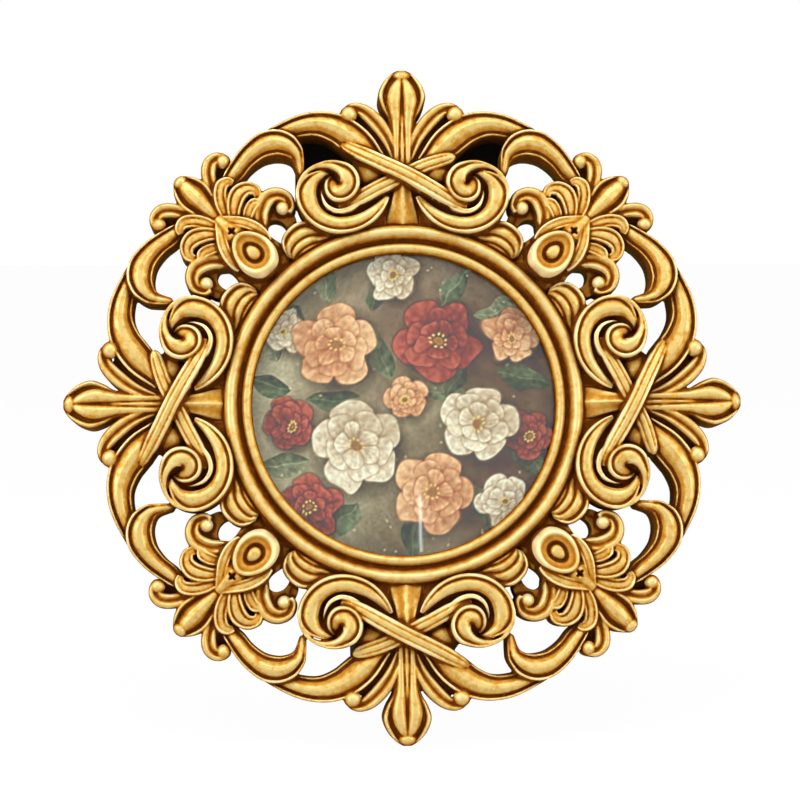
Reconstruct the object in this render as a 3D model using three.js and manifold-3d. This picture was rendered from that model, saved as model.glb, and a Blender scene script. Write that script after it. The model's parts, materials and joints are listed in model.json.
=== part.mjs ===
// Round photo frame in gilt resin: a moulded ring carrying an openwork wreath of volutes, leaves and
// trumpet flowers, glazed from behind and standing on an easel leg.
// Millimetres, +Z up, the front faces -Y. The frame is drawn in its own face plane (X right, Y up the
// face, Z out of the front, back of the casting at Z = 0) and then leaned back onto its leg.
import * as THREE from 'three';
import { mergeVertices } from 'three/addons/utils/BufferGeometryUtils.js';
import Module from 'manifold-3d';

const wasm = await Module();
wasm.setup();

// Driving dimensions
const FIT = 0.3; // clearance between pieces that rest on or fit in each other
const LEAN = THREE.MathUtils.degToRad(12); // face leaning back from upright
const LEG_OPEN = THREE.MathUtils.degToRad(22); // leg standing off the back at its stop

// Glazing, from the front lip to the back
const PRINT_D = 101.6;
const PRINT_PLAY = 0.5; // radial play of the print in its rebate
const GLASS_T = 2;
const PRINT_T = 0.4;
const CARD_T = 1.2;
const BOARD_T = 3;

// Moulded ring
const LIP_W = 2.8; // overlap of the front lip on the pane
const LIP_T = 1.6;
const RING_WALL = 7.7; // rebate wall to outer edge
const RING_EDGE_Z = 8.5;
const INNER_BEAD_W = 3.4;
const INNER_BEAD_RISE = 2.2;
const BEAD_GROOVE_W = 1;
const OUTER_BEAD_W = 4.6;
const OUTER_BEAD_RISE = 4.4;

// Openwork wreath
const WEB_Z = 9; // floor between the raised scrolls
const RIBBON_DROP = 2.5; // how far the lower ribbon dips under the upper one
const FINIAL_H = 49.2; // finial tip above the ring's outer edge
const FOOT_CUT = 0.7; // depth of the flat under the lowest finial
const FLOWER_LENGTH = 16;
const FLOWER_WIDTH = 13;
const FLOWER_Z = 18.5;
const FLOWER_HOLLOW = 7;

// Turn buttons that hold the back board
const BUTTON_W = 8;
const BUTTON_T = 1;
const BUTTON_REACH = 11; // pivot to the centre of the round tip
const SCREW_R = 1.3;
const SCREW_HEAD_R = 2.6;
const SCREW_HEAD_T = 1.5;
const SCREW_GRIP = 6; // screw length in the casting

// Strut plate behind the top crest
const PLATE_W = 69;
const PLATE_T = 3;
const PLATE_RISE = 32.5; // top edge above the ring's outer edge
const PLATE_CORNER = 5;
const PLATE_TOP_INSET = 3.8; // upper screws below the top edge
const PLATE_SIDE_INSET = 9.5; // upper screws in from the side edges
const PLATE_FOOT_INSET = 13.9; // lower screws in from the side edges

// Sawtooth hanger
const HANGER_INSET = 13.5; // ends in from the plate's side edges
const HANGER_H = 8;
const HANGER_T = 0.8;
const HANGER_BOW = 1.8; // stand-off of the toothed middle
const HANGER_TAB = 6; // flat nailed end
const HANGER_DROP = 7.5; // centre line below the plate's top edge
const TOOTH_COUNT = 7;
const TOOTH_DEPTH = 1.6;
const NAIL_R = 0.6;
const NAIL_HEAD_R = 1.4;
const NAIL_HEAD_T = 0.5;

// Easel hinge
const HINGE_RISE = 3; // hinge axis above the ring's outer edge
const PIN_R = 1;
const KNUCKLE_R = 2;
const KNUCKLE_W = 12; // middle knuckle
const LEAF_W = 30;
const LEAF_T = 0.9;
const FIXED_LEAF_H = 14;
const MOVING_LEAF_H = 22;
const STOP_H = 8;
const RIVET_R = 1.2;
const RIVET_HEAD_R = 2.2;
const RIVET_HEAD_T = 1;
const RIVET_INSET = 6; // rivets in from the leaf's side edges

// Easel leg
const LEG_T = 3;
const LEG_TOP_W = 40;
const LEG_FOOT_W = 32;
const LEG_CORNER = 6;

// Facets
const ROUND = 36;
const SMALL_ROUND = 8;
const KNUCKLE_ROUND = 8;
const FAR = 400; // larger than the whole frame

// Sizes that follow
const rebateR = PRINT_D / 2 + PRINT_PLAY;
const sightR = rebateR - LIP_W;
const ringR = rebateR + RING_WALL;
const rebateZ = GLASS_T + PRINT_T + CARD_T + BOARD_T + 4 * FIT;
const lipZ = rebateZ + LIP_T;
const plateBack = -FIT - PLATE_T;
const hingeY = ringR + HINGE_RISE;
const hingeZ = plateBack - FIT - LEAF_T / 2;
const plateBottom = hingeY + KNUCKLE_R + 2 * FIT;
const plateTop = ringR + PLATE_RISE;
const hangerW = PLATE_W - 2 * HANGER_INSET;
const knuckleClear = KNUCKLE_R + 2 * FIT;
const rivetSpacing = LEAF_W - 2 * RIVET_INSET;
const holeR = (radius) => radius + FIT;
const floorH = FOOT_CUT - (ringR + FINIAL_H) * Math.cos(LEAN);
const legDrop = hingeY * Math.cos(LEAN) + hingeZ * Math.sin(LEAN) - floorH;
const legLength = legDrop / Math.cos(LEG_OPEN - LEAN);

// Wreath stations, in the plane of one crest or spray: X along the ring, Y out from the ring's outer edge.
// Scroll rows are [outer x, outer y, inner x, inner y, crown].
const UPPER_SCROLL = [
  [5, 20, 9, 17.5, 13],
  [9.5, 27, 16.5, 20.5, 14.5],
  [14.5, 31.5, 20, 23, 15],
  [20.3, 34.4, 23, 25.3, 15],
  [27, 35.2, 27.7, 27.2, 15],
  [34.5, 33.8, 33, 26.9, 14.5],
  [43, 29.6, 39.5, 25, 13.5],
];
const LOWER_SCROLL = [
  [31.5, 13.5, 33.8, 14.8, 14],
  [31.6, 20, 35, 18.3, 15],
  [32.2, 23.3, 36.2, 19.8, 16],
  [34.9, 26.9, 38.5, 20.6, 16.5],
  [39.7, 28.9, 41, 20.7, 16.5],
  [45.3, 28.2, 44.7, 19.7, 16],
  [50.6, 24.4, 48.5, 16.9, 15],
  [54.6, 19.6, 51.2, 13.6, 14],
  [57.2, 15.2, 54, 11, 13],
];
const RING_LEAF = [
  [28, -1.4, 25.5, -8, 12],
  [31, -0.4, 27.5, -8.5, 13],
  [34, -1, 29.5, -9.5, 13.5],
  [37, -3, 31.3, -10.6, 13.5],
  [38.8, -5.8, 32.6, -11.6, 13],
  [38.8, -8.7, 33.6, -12.4, 12.5],
  [37.2, -11.6, 34.3, -13, 11.5],
];
// Volute rows are [angle about the eye, outer radius, inner radius, crown].
const EYE = [20.6, 10.4];
const VOLUTE = [
  [190, 16.7, 14.8, 13],
  [214, 16.1, 12, 15],
  [244, 15.6, 10.2, 15.7],
  [275, 15.2, 9.5, 16],
  [306, 14.9, 8.8, 16],
  [336, 14.4, 7.2, 16],
  [364, 13.2, 5.8, 16],
  [388, 10.6, 5.1, 16.2],
  [418, 7.9, 4.3, 16.6],
  [464, 6.7, 3.3, 17],
  [520, 6.2, 2.9, 17.4],
  [585, 5.8, 2.5, 17.7],
  [650, 4.9, 1.6, 18],
  [720, 3.4, 0.4, 18],
];
// Right half of the floor between the volutes, as [x, y].
const CREST_FLOOR = [[13, 0.8], [24, 0], [29, 4], [30, 10], [26, 14], [17, 17], [14, 21], [5, 25]];
// Leaf rows are [half width, y, crown], mirrored about X = 0.
const FINIAL = [
  [2.5, 19, 13],
  [3, 25, 13.5],
  [4.5, 32.5, 14],
  [6.6, 36.5, 14.5],
  [7.7, 40.5, 15],
  [6.2, 44.5, 14.5],
  [3.4, 47.5, 13],
  [1.2, FINIAL_H, 11.5],
];
const BELL = [
  [4.3, -1.5, 14],
  [3.2, 3, 15],
  [2.3, 7, 16],
  [1.6, 11, 16.5],
];
const BUD = [
  [5.6, 10, 16],
  [4.8, 15, 15.5],
  [3.2, 19.5, 15],
  [2.5, 22.5, 14.5],
  [3, 25, 13.5],
  [4.6, 29.5, 14],
  [5.7, 35, 14.5],
  [4.4, 39.5, 13.5],
  [1.2, 43.5, 12],
];
// Strap rows are [x, y, width, crown] on the centre line.
const RIBBON = [
  [-18.5, 22.5, 5, 15.5],
  [-9, 19, 5, 17.5],
  [0.8, 14.6, 5, 19],
  [9, 9.7, 5, 18.5],
  [15, 6.8, 5, 17.5],
  [20.5, 5.2, 4.5, 16.5],
];
const CREST_CURL = [
  [2, 19, 2.5, 12],
  [3.2, 23, 3.2, 13],
  [5.2, 28, 4, 13.5],
  [9, 33.5, 4.6, 13.5],
  [13, 36.3, 4, 13.5],
  [16, 36, 2.8, 13.2],
  [17.4, 34.8, 4.6, 14],
  [17.2, 33.2, 2.2, 13.4],
];
const SLIM_PETAL = [
  [1, 21.5, 2, 14],
  [4, 24.5, 3.6, 14.5],
  [7.2, 28, 4.5, 14],
  [10.3, 31.5, 1, 12.5],
];
const BROAD_PETAL = [
  [1.5, 20.5, 2.5, 15],
  [5.5, 22.5, 5, 16],
  [10, 24.8, 7, 15.5],
  [15, 26, 1.6, 13],
];
const BUD_CURL = [
  [2.5, 25, 2.5, 12.5],
  [6.2, 34, 3.2, 13],
  [7.4, 38, 3.4, 13],
  [10, 40.2, 3.6, 13],
  [13, 40.4, 3, 13],
  [15, 39.2, 2.6, 13],
  [15, 37.4, 4.6, 14],
  [14.2, 36.2, 2.2, 13.4],
];
const HOOK = [
  [4, 10, 3, 13],
  [8.2, 13.8, 3.4, 13.5],
  [10.8, 17.3, 3.8, 13.5],
  [14, 18.5, 3.8, 13.5],
  [17, 17.2, 3.2, 13],
  [18.2, 14.8, 2.6, 13],
  [17.6, 12.6, 4.4, 14],
  [16.6, 11.2, 2.2, 13.4],
];
// Relief sections are [share of the width, drop below the crown].
const CHANNEL = [[0, 1.6], [0.15, 0], [0.55, 2], [1, 0.4]];
const STRANDS = [[0, 1.2], [0.22, 0], [0.5, 0.9], [0.78, 0], [1, 1.2]];
const SPLIT_LEAF = [[0, 1.8], [0.24, 0], [0.5, 1.6], [0.76, 0], [1, 1.8]];
const SEED_LEAF = [[0, 0.6], [0.25, 1.4], [0.5, -0.8], [0.75, 1.4], [1, 0.6]];
const ROUNDED = [[0, 1.8], [0.5, 0], [1, 1.8]];

// Finishes
const finish = (color, roughness, metalness) => ({ color, roughness, metalness });
const GILT = finish('#c8952f', 0.42, 0.65);
const GLASS = finish('#dfe7e4', 0.05, 0);
const PRINT = finish('#8a7d69', 0.55, 0);
const CARD = finish('#c9bfa9', 0.85, 0);
const FLOCK = finish('#1b1a1a', 0.95, 0);
const STEEL = finish('#b8bbbe', 0.35, 0.9);
const BRASSED = finish('#b5924a', 0.35, 0.9);

// Closed surfaces and booleans
function closed(geometry) {
  const bare = new THREE.BufferGeometry();
  bare.setAttribute('position', geometry.getAttribute('position'));
  bare.setIndex(geometry.getIndex());
  const merged = mergeVertices(bare, 1e-4);
  const corners = merged.getIndex().array;
  const kept = [];
  for (let i = 0; i < corners.length; i += 3) {
    const [a, b, c] = corners.slice(i, i + 3);
    if (a !== b && b !== c && c !== a) kept.push(a, b, c);
  }
  if (volume(merged, kept) < 0) kept.reverse();
  merged.setIndex(kept);
  return merged;
}

function volume(geometry, corners) {
  const position = geometry.getAttribute('position');
  const [a, b, c] = [new THREE.Vector3(), new THREE.Vector3(), new THREE.Vector3()];
  let total = 0;
  for (let i = 0; i < corners.length; i += 3) {
    a.fromBufferAttribute(position, corners[i]);
    b.fromBufferAttribute(position, corners[i + 1]);
    c.fromBufferAttribute(position, corners[i + 2]);
    total += a.dot(b.cross(c)) / 6;
  }
  return total;
}

function solid(geometry) {
  const surface = closed(geometry);
  const vertProperties = Float32Array.from(surface.getAttribute('position').array);
  const triVerts = Uint32Array.from(surface.getIndex().array);
  return new wasm.Manifold(new wasm.Mesh({ numProp: 3, vertProperties, triVerts }));
}

function join(...geometries) {
  return geometries.map(solid).reduce((body, next) => body.add(next));
}

function cut(body, ...cutters) {
  return cutters.reduce((left, cutter) => left.subtract(cutter), body);
}

function surfaceOf(body) {
  const { vertProperties, triVerts } = body.getMesh();
  const geometry = new THREE.BufferGeometry();
  geometry.setAttribute('position', new THREE.BufferAttribute(Float32Array.from(vertProperties), 3));
  geometry.setIndex(Array.from(triVerts));
  return geometry;
}

function piece(name, shape, look) {
  const geometry = shape instanceof THREE.BufferGeometry ? closed(shape) : surfaceOf(shape);
  geometry.computeVertexNormals();
  const mesh = new THREE.Mesh(geometry, new THREE.MeshStandardMaterial(look));
  mesh.name = name;
  return mesh;
}

// Basic forms along Z
function lathe(profile, segments) {
  const points = profile.map(([r, z]) => new THREE.Vector2(r, z));
  return new THREE.LatheGeometry(points, segments).rotateX(Math.PI / 2);
}

function disc(radius, z, thickness, segments) {
  return lathe([[0, z], [radius, z], [radius, z + thickness], [0, z + thickness]], segments);
}

function slab(shape, z, thickness) {
  const options = { depth: thickness, bevelEnabled: false, curveSegments: 3 };
  return new THREE.ExtrudeGeometry(shape, options).translate(0, 0, z);
}

function outline(points) {
  return new THREE.Shape(points.map(([x, y]) => new THREE.Vector2(x, y)));
}

function box(x0, x1, y0, y1, z0, z1) {
  const block = new THREE.BoxGeometry(x1 - x0, y1 - y0, z1 - z0);
  return block.translate((x0 + x1) / 2, (y0 + y1) / 2, (z0 + z1) / 2);
}

function mirrored(geometry) {
  return geometry.clone().scale(-1, 1, 1);
}

// All that lies below the floor, in a frame whose Y axis leans back from upright
function belowFloor(lean, height) {
  return new THREE.BoxGeometry(FAR, FAR, FAR).translate(0, height - FAR / 2, 0).rotateX(lean);
}

// Relief bands
// Smooth path through rows of numbers; t runs from 0 at the first row to 1 at the last.
function along(rows, t) {
  const last = rows.length - 1;
  const i = Math.min(Math.floor(t * last), last - 1);
  const f = t * last - i;
  const before = rows[Math.max(i - 1, 0)];
  const after = rows[Math.min(i + 2, last)];
  return rows[i].map((p, c) => {
    const q = rows[i + 1][c];
    const slopeIn = (q - before[c]) / 2;
    const slopeOut = (after[c] - p) / 2;
    const bend = 3 * (q - p) - 2 * slopeIn - slopeOut;
    const twist = slopeIn + slopeOut - 2 * (q - p);
    return p + f * (slopeIn + f * (bend + f * twist));
  });
}

const edges = (rows) => (t) => along(rows, t);

const symmetric = (rows) => (t) => {
  const [half, y, crown] = along(rows, t);
  return [-half, y, half, y, crown];
};

const strap = (rows) => (t) => {
  const [x, y, width, crown] = along(rows, t);
  const [x0, y0] = along(rows, Math.max(t - 0.02, 0));
  const [x1, y1] = along(rows, Math.min(t + 0.02, 1));
  const reach = width / 2 / Math.hypot(x1 - x0, y1 - y0);
  const [nx, ny] = [(y0 - y1) * reach, (x1 - x0) * reach];
  return [x + nx, y + ny, x - nx, y - ny, crown];
};

const spiral = (rows) => (t) => {
  const [degrees, outer, inner, crown] = along(rows, t);
  const angle = THREE.MathUtils.degToRad(degrees);
  const [c, s] = [Math.cos(angle), Math.sin(angle)];
  return [EYE[0] + outer * c, EYE[1] + outer * s, EYE[0] + inner * c, EYE[1] + inner * s, crown];
};

// A band of relief standing on the back plane, lofted between its two edges. With spare, the band grows
// by that much all round, to cut a clearance for itself.
function band(edge, section, steps, spare = 0) {
  const positions = [];
  const corners = [];
  const around = section.length + 2;
  for (let i = 0; i <= steps; i += 1) {
    const [ax, ay, bx, by, crown] = edge(i / steps);
    const stretch = spare / Math.hypot(bx - ax, by - ay);
    const across = (w) => {
      const share = w + stretch * (2 * w - 1);
      return [ax + (bx - ax) * share, ay + (by - ay) * share];
    };
    positions.push(...across(0), -spare);
    section.forEach(([w, drop]) => positions.push(...across(w), crown - drop + spare));
    positions.push(...across(1), -spare);
  }
  for (let i = 0; i < steps; i += 1) {
    for (let j = 0; j < around; j += 1) {
      const [a, b] = [i * around + j, i * around + ((j + 1) % around)];
      corners.push(a, a + around, b, b, a + around, b + around);
    }
  }
  const end = steps * around;
  for (let j = 1; j < around - 1; j += 1) {
    corners.push(0, j, j + 1, end, end + j + 1, end + j);
  }
  const geometry = new THREE.BufferGeometry();
  geometry.setAttribute('position', new THREE.Float32BufferAttribute(positions, 3));
  geometry.setIndex(corners);
  return geometry;
}

// Moulded ring with its rebate
function beadArc(from, width, base, rise) {
  return [0.25, 0.5, 0.75].map((share) => [from + width * share, base + rise * Math.sin(Math.PI * share)]);
}

function frameRing() {
  const innerEnd = sightR + INNER_BEAD_W;
  const outerStart = innerEnd + BEAD_GROOVE_W;
  const profile = [
    [rebateR, 0],
    [rebateR, rebateZ],
    [sightR, rebateZ],
    [sightR, lipZ],
    ...beadArc(sightR, INNER_BEAD_W, lipZ, INNER_BEAD_RISE),
    [innerEnd, lipZ],
    [outerStart, lipZ],
    ...beadArc(outerStart, OUTER_BEAD_W, lipZ, OUTER_BEAD_RISE),
    [ringR, RING_EDGE_Z],
    [ringR, 0],
    [rebateR, 0],
  ];
  return cut(solid(lathe(profile, ROUND)), ...buttonPlaces.map((place) => pilotHole(place)));
}

// Wreath: one crest and one spray, each repeated four times round the ring
function crestScrolls(spare) {
  const right = [
    band(edges(UPPER_SCROLL), CHANNEL, 6, spare),
    band(edges(LOWER_SCROLL), CHANNEL, 8, spare),
    band(spiral(VOLUTE), CHANNEL, 13, spare),
    band(edges(RING_LEAF), ROUNDED, 3, spare),
  ];
  return [...right, ...right.map(mirrored)];
}

function crestFloor() {
  const left = CREST_FLOOR.map(([x, y]) => [-x, y]).reverse();
  return [slab(outline([...CREST_FLOOR, ...left]), 0, WEB_Z)];
}

function crestTrim() {
  const lowered = RIBBON.map(([x, y, width, crown]) => [x, y, width, crown - RIBBON_DROP]);
  const curl = band(strap(CREST_CURL), ROUNDED, 6);
  return [
    band(symmetric(FINIAL), SPLIT_LEAF, 6),
    band(symmetric(BELL), ROUNDED, 2),
    band(strap(RIBBON), STRANDS, 4),
    mirrored(band(strap(lowered), STRANDS, 4)),
    curl,
    mirrored(curl),
  ];
}

function onRing(geometry) {
  return geometry.translate(0, ringR, 0);
}

function crest() {
  const forms = [...crestScrolls(0), ...crestFloor(), ...crestTrim()];
  return cut(join(...forms.map(onRing)), ringSeat);
}

function flower() {
  const [half, lip] = [FLOWER_LENGTH / 2, 1.4];
  const floor = FLOWER_Z - FLOWER_HOLLOW;
  const profile = [
    [0, 0],
    [half - lip, 0],
    [half, FLOWER_Z - 2 * lip],
    [half - 0.6 * lip, FLOWER_Z],
    [0.45 * half, floor],
    [0.2 * half, floor + 2.4],
    [0, floor + 3],
  ];
  return lathe(profile, 10).scale(FLOWER_WIDTH / FLOWER_LENGTH, 1, 1).translate(0, half - 1, 0);
}

function spray() {
  const side = [
    band(strap(SLIM_PETAL), ROUNDED, 3),
    band(strap(BROAD_PETAL), ROUNDED, 3),
    band(strap(BUD_CURL), ROUNDED, 6),
    band(strap(HOOK), ROUNDED, 6),
  ];
  const stem = box(-0.35 * FLOWER_WIDTH, 0.35 * FLOWER_WIDTH, -3, FLOWER_LENGTH / 2, 0, WEB_Z);
  const forms = [flower(), stem, band(symmetric(BUD), SEED_LEAF, 7), ...side, ...side.map(mirrored)];
  const neighbours = [-1, 1].map((way) => {
    const scrolls = crestScrolls(FIT).map(onRing);
    return join(...scrolls.map((scroll) => scroll.rotateZ((way * Math.PI) / 4)));
  });
  return cut(join(...forms.map(onRing)), ringSeat, ...neighbours);
}

// Fasteners point into the back of the frame, along +Z
function pilotHole([x, y]) {
  return solid(disc(holeR(SCREW_R), -FAR / 2, FAR / 2 + SCREW_GRIP + FIT, 8).translate(x, y, 0));
}

function screw(seat) {
  const rim = seat - SCREW_HEAD_T;
  const profile = [
    [0, rim],
    [0.75 * SCREW_HEAD_R, rim],
    [SCREW_HEAD_R, seat],
    [SCREW_R, seat],
    [SCREW_R, SCREW_GRIP - SCREW_R],
    [0, SCREW_GRIP],
  ];
  return lathe(profile, SMALL_ROUND);
}

function rivet(seat, headR, headT, shankR, end) {
  const profile = [
    [0, seat - headT],
    [headR, seat],
    [shankR, seat],
    [shankR, end],
    [0, end],
  ];
  return lathe(profile, SMALL_ROUND);
}

function boreAt([x, y], radius, z0, z1) {
  return solid(disc(radius, z0, z1 - z0, SMALL_ROUND).translate(x, y, 0));
}

// Turn button, pivoting at its own origin and pointing along -Y over the back board
function turnButton() {
  const half = BUTTON_W / 2;
  const shape = new THREE.Shape();
  shape.absarc(0, 0, half, 0, Math.PI, false);
  shape.absarc(0, -BUTTON_REACH, half * 0.8, Math.PI, 2 * Math.PI, false);
  const pivot = new THREE.Path();
  pivot.absarc(0, 0, holeR(SCREW_R), 0, 2 * Math.PI, true);
  shape.holes.push(pivot);
  return slab(shape, -FIT - BUTTON_T, BUTTON_T);
}

// Strut plate with the holes for its screws, nails and rivets
function roundedRect(x0, x1, y0, y1, radius) {
  const shape = new THREE.Shape();
  shape.absarc(x1 - radius, y1 - radius, radius, 0, Math.PI / 2);
  shape.absarc(x0 + radius, y1 - radius, radius, Math.PI / 2, Math.PI);
  shape.lineTo(x0, y0);
  shape.lineTo(x1, y0);
  return shape;
}

function strutPlate() {
  const shape = roundedRect(-PLATE_W / 2, PLATE_W / 2, plateBottom, plateTop, PLATE_CORNER);
  const blank = slab(shape, plateBack, PLATE_T);
  const bores = [
    ...plateScrewPlaces.map((place) => boreAt(place, holeR(SCREW_R), -FAR, FAR)),
    ...nailPlaces.map((place) => boreAt(place, holeR(NAIL_R), -FAR, FAR)),
    ...fixedRivetPlaces.map((place) => boreAt(place, holeR(RIVET_R), -FAR, FAR)),
  ];
  return cut(solid(blank), ...bores);
}

// Sawtooth hanger: a bowed strip with teeth along its lower edge
function sawtoothHanger() {
  const y = plateTop - HANGER_DROP;
  const [half, tab] = [hangerW / 2, hangerW / 2 - HANGER_TAB];
  const [flat, bowed] = [plateBack - FIT, plateBack - FIT - HANGER_BOW];
  const bend = tab - HANGER_BOW;
  const front = [[-half, flat], [-tab, flat], [-bend, bowed], [bend, bowed], [tab, flat], [half, flat]];
  const back = front.map(([x, z]) => [x, z - HANGER_T]).reverse();
  const strip = slab(outline([...front, ...back]), 0, HANGER_H).rotateX(Math.PI / 2);
  const pitch = (2 * bend) / (TOOTH_COUNT + 1);
  const teeth = Array.from({ length: TOOTH_COUNT }, (_, i) => {
    const x = (i - (TOOTH_COUNT - 1) / 2) * pitch;
    const lower = y - HANGER_H / 2;
    const [left, right] = [x - 0.4 * pitch, x + 0.4 * pitch];
    const notch = outline([[left, lower - 1], [right, lower - 1], [x, lower + TOOTH_DEPTH]]);
    return solid(slab(notch, -FAR / 2, FAR));
  });
  const nails = nailPlaces.map((place) => boreAt(place, holeR(NAIL_R), -FAR, FAR));
  return cut(solid(strip.translate(0, y + HANGER_H / 2, 0)), ...teeth, ...nails);
}

// Easel hinge, drawn about its own axis: X along the pin, fixed leaf up +Y, moving leaf down -Y
function alongPin(radius, x0, x1) {
  const profile = [[0, x0], [radius, x0], [radius, x1], [0, x1]];
  return lathe(profile, KNUCKLE_ROUND).rotateY(Math.PI / 2);
}

function hingePin() {
  const [half, head] = [LEAF_W / 2 + FIT, 0.4 * KNUCKLE_R];
  const cap = PIN_R + 0.5 * (KNUCKLE_R - PIN_R);
  const profile = [
    [0, -half - head],
    [cap, -half - head],
    [cap, -half],
    [PIN_R, -half],
    [PIN_R, half],
    [cap, half],
    [cap, half + head],
    [0, half + head],
  ];
  return lathe(profile, KNUCKLE_ROUND).rotateY(Math.PI / 2);
}

const pinBore = () => solid(alongPin(PIN_R + FIT / 2, -FAR, FAR));

function fixedLeaf() {
  const [half, middle] = [LEAF_W / 2, KNUCKLE_W / 2];
  const stopFace = -LEAF_T / 2 - FIT;
  const body = join(
    box(-half, half, knuckleClear, knuckleClear + FIXED_LEAF_H, -LEAF_T / 2, LEAF_T / 2),
    box(-middle, middle, 0, knuckleClear + LEAF_T, -LEAF_T / 2, LEAF_T / 2),
    alongPin(KNUCKLE_R, -middle, middle),
    box(-middle, middle, -STOP_H, 0, stopFace - LEAF_T, stopFace).rotateX(LEG_OPEN),
  );
  const rivets = fixedRivetPlaces.map(([x, y]) => boreAt([x, y - hingeY], holeR(RIVET_R), -FAR, FAR));
  return cut(body, pinBore(), ...rivets);
}

function movingLeaf() {
  const [half, inner] = [LEAF_W / 2, KNUCKLE_W / 2 + FIT];
  const tip = 0.7 * half;
  const foot = -knuckleClear - MOVING_LEAF_H;
  const blade = outline([[-half, -knuckleClear], [-tip, foot], [tip, foot], [half, -knuckleClear]]);
  const ears = [-1, 1].flatMap((way) => {
    const [x0, x1] = way < 0 ? [-half, -inner] : [inner, half];
    return [
      alongPin(KNUCKLE_R, x0, x1),
      box(x0, x1, -knuckleClear - LEAF_T, 0, -LEAF_T / 2, LEAF_T / 2),
    ];
  });
  const body = join(slab(blade, -LEAF_T / 2, LEAF_T), ...ears);
  const rivets = legRivetPlaces.map((place) => boreAt(place, holeR(RIVET_R), -FAR, FAR));
  return cut(body, pinBore(), ...rivets);
}

// Easel leg, drawn folded about the hinge axis; its foot is cut to the floor where it stands
function easelLeg() {
  const [top, foot] = [-knuckleClear, -legLength - LEG_T];
  const [shoulder, toe] = [LEG_TOP_W / 2, LEG_FOOT_W / 2];
  const shape = new THREE.Shape();
  shape.moveTo(-toe, foot);
  shape.lineTo(toe, foot);
  shape.lineTo(shoulder, top - LEG_CORNER);
  shape.quadraticCurveTo(shoulder, top, shoulder - LEG_CORNER, top);
  shape.lineTo(LEG_CORNER - shoulder, top);
  shape.quadraticCurveTo(-shoulder, top, -shoulder, top - LEG_CORNER);
  const blank = solid(slab(shape, legFront - LEG_T, LEG_T));
  const rivets = legRivetPlaces.map((place) => boreAt(place, holeR(RIVET_R), -FAR, FAR));
  return cut(blank, solid(belowFloor(LEAN - LEG_OPEN, -legDrop)), ...rivets);
}

// Places that pieces share
const buttonR = (rebateR + ringR) / 2;
const diagonals = [1, 3, 5, 7].map((eighth) => (eighth * Math.PI) / 4);
const buttonPlaces = diagonals.map((angle) => [buttonR * Math.cos(angle), buttonR * Math.sin(angle)]);
const plateScrewPlaces = [-1, 1].flatMap((way) => [
  [way * (PLATE_W / 2 - PLATE_FOOT_INSET), ringR + EYE[1]],
  [way * (PLATE_W / 2 - PLATE_SIDE_INSET), plateTop - PLATE_TOP_INSET],
]);
const nailPlaces = [-1, 1].map((way) => [(way * (hangerW - HANGER_TAB)) / 2, plateTop - HANGER_DROP]);
const fixedRivetPlaces = [-1, 1].map((way) => [
  (way * rivetSpacing) / 2,
  hingeY + knuckleClear + 0.6 * FIXED_LEAF_H,
]);
const legRivetPlaces = [-1, 1].map((way) => [(way * rivetSpacing) / 2, -knuckleClear - 0.6 * MOVING_LEAF_H]);
const legFront = -FIT - hingeZ; // front of the folded leg, in the hinge's own frame
const ringSeat = solid(disc(ringR + FIT, -FAR / 2, FAR, ROUND));

// Assembly in the face plane
function turned(angle, ...meshes) {
  const group = new THREE.Group();
  group.rotation.z = angle;
  group.add(...meshes);
  return group;
}

function placed([x, y], mesh) {
  mesh.position.set(x, y, 0);
  return mesh;
}

const face = new THREE.Group();
face.rotation.x = Math.PI / 2 - LEAN;
face.add(piece('frame_ring', frameRing(), GILT));

const crestBody = crest();
const sprayBody = spray();
const floorUnderCrest = solid(belowFloor(LEAN, floorH).rotateZ(Math.PI));
const crests = {
  crest_top: cut(crestBody, ...plateScrewPlaces.map(pilotHole)),
  crest_left: crestBody,
  crest_bottom: cut(crestBody, floorUnderCrest),
  crest_right: crestBody,
};
Object.entries(crests).forEach(([name, body], quarter) => {
  face.add(turned((quarter * Math.PI) / 2, piece(name, body, GILT)));
});
['ne', 'nw', 'sw', 'se'].forEach((corner, i) => {
  face.add(turned(diagonals[i] - Math.PI / 2, piece(`spray_${corner}`, sprayBody, GILT)));
});

const glassZ = rebateZ - FIT - GLASS_T;
const printZ = glassZ - FIT - PRINT_T;
const cardZ = printZ - FIT - CARD_T;
const boardZ = cardZ - FIT - BOARD_T;
face.add(
  piece('glass_pane', disc(rebateR - FIT, glassZ, GLASS_T, ROUND), GLASS),
  piece('photo_print', disc(PRINT_D / 2, printZ, PRINT_T, ROUND), PRINT),
  piece('filler_card', disc(PRINT_D / 2, cardZ, CARD_T, ROUND), CARD),
  piece('back_board', disc(rebateR - FIT, boardZ, BOARD_T, ROUND), FLOCK),
);

buttonPlaces.forEach((place, i) => {
  const button = placed(place, piece(`turn_button_${i + 1}`, turnButton(), BRASSED));
  button.rotation.z = diagonals[i] - Math.PI / 2;
  const seat = -2 * FIT - BUTTON_T;
  face.add(button, placed(place, piece(`turn_button_screw_${i + 1}`, screw(seat), STEEL)));
});

face.add(piece('strut_plate', strutPlate(), FLOCK), piece('sawtooth_hanger', sawtoothHanger(), STEEL));
plateScrewPlaces.forEach((place, i) => {
  face.add(placed(place, piece(`strut_plate_screw_${i + 1}`, screw(plateBack - FIT), STEEL)));
});
nailPlaces.forEach((place, i) => {
  const seat = plateBack - 2 * FIT - HANGER_T;
  const nail = rivet(seat, NAIL_HEAD_R, NAIL_HEAD_T, NAIL_R, -2 * FIT);
  face.add(placed(place, piece(`hanger_nail_${i + 1}`, nail, STEEL)));
});

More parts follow.
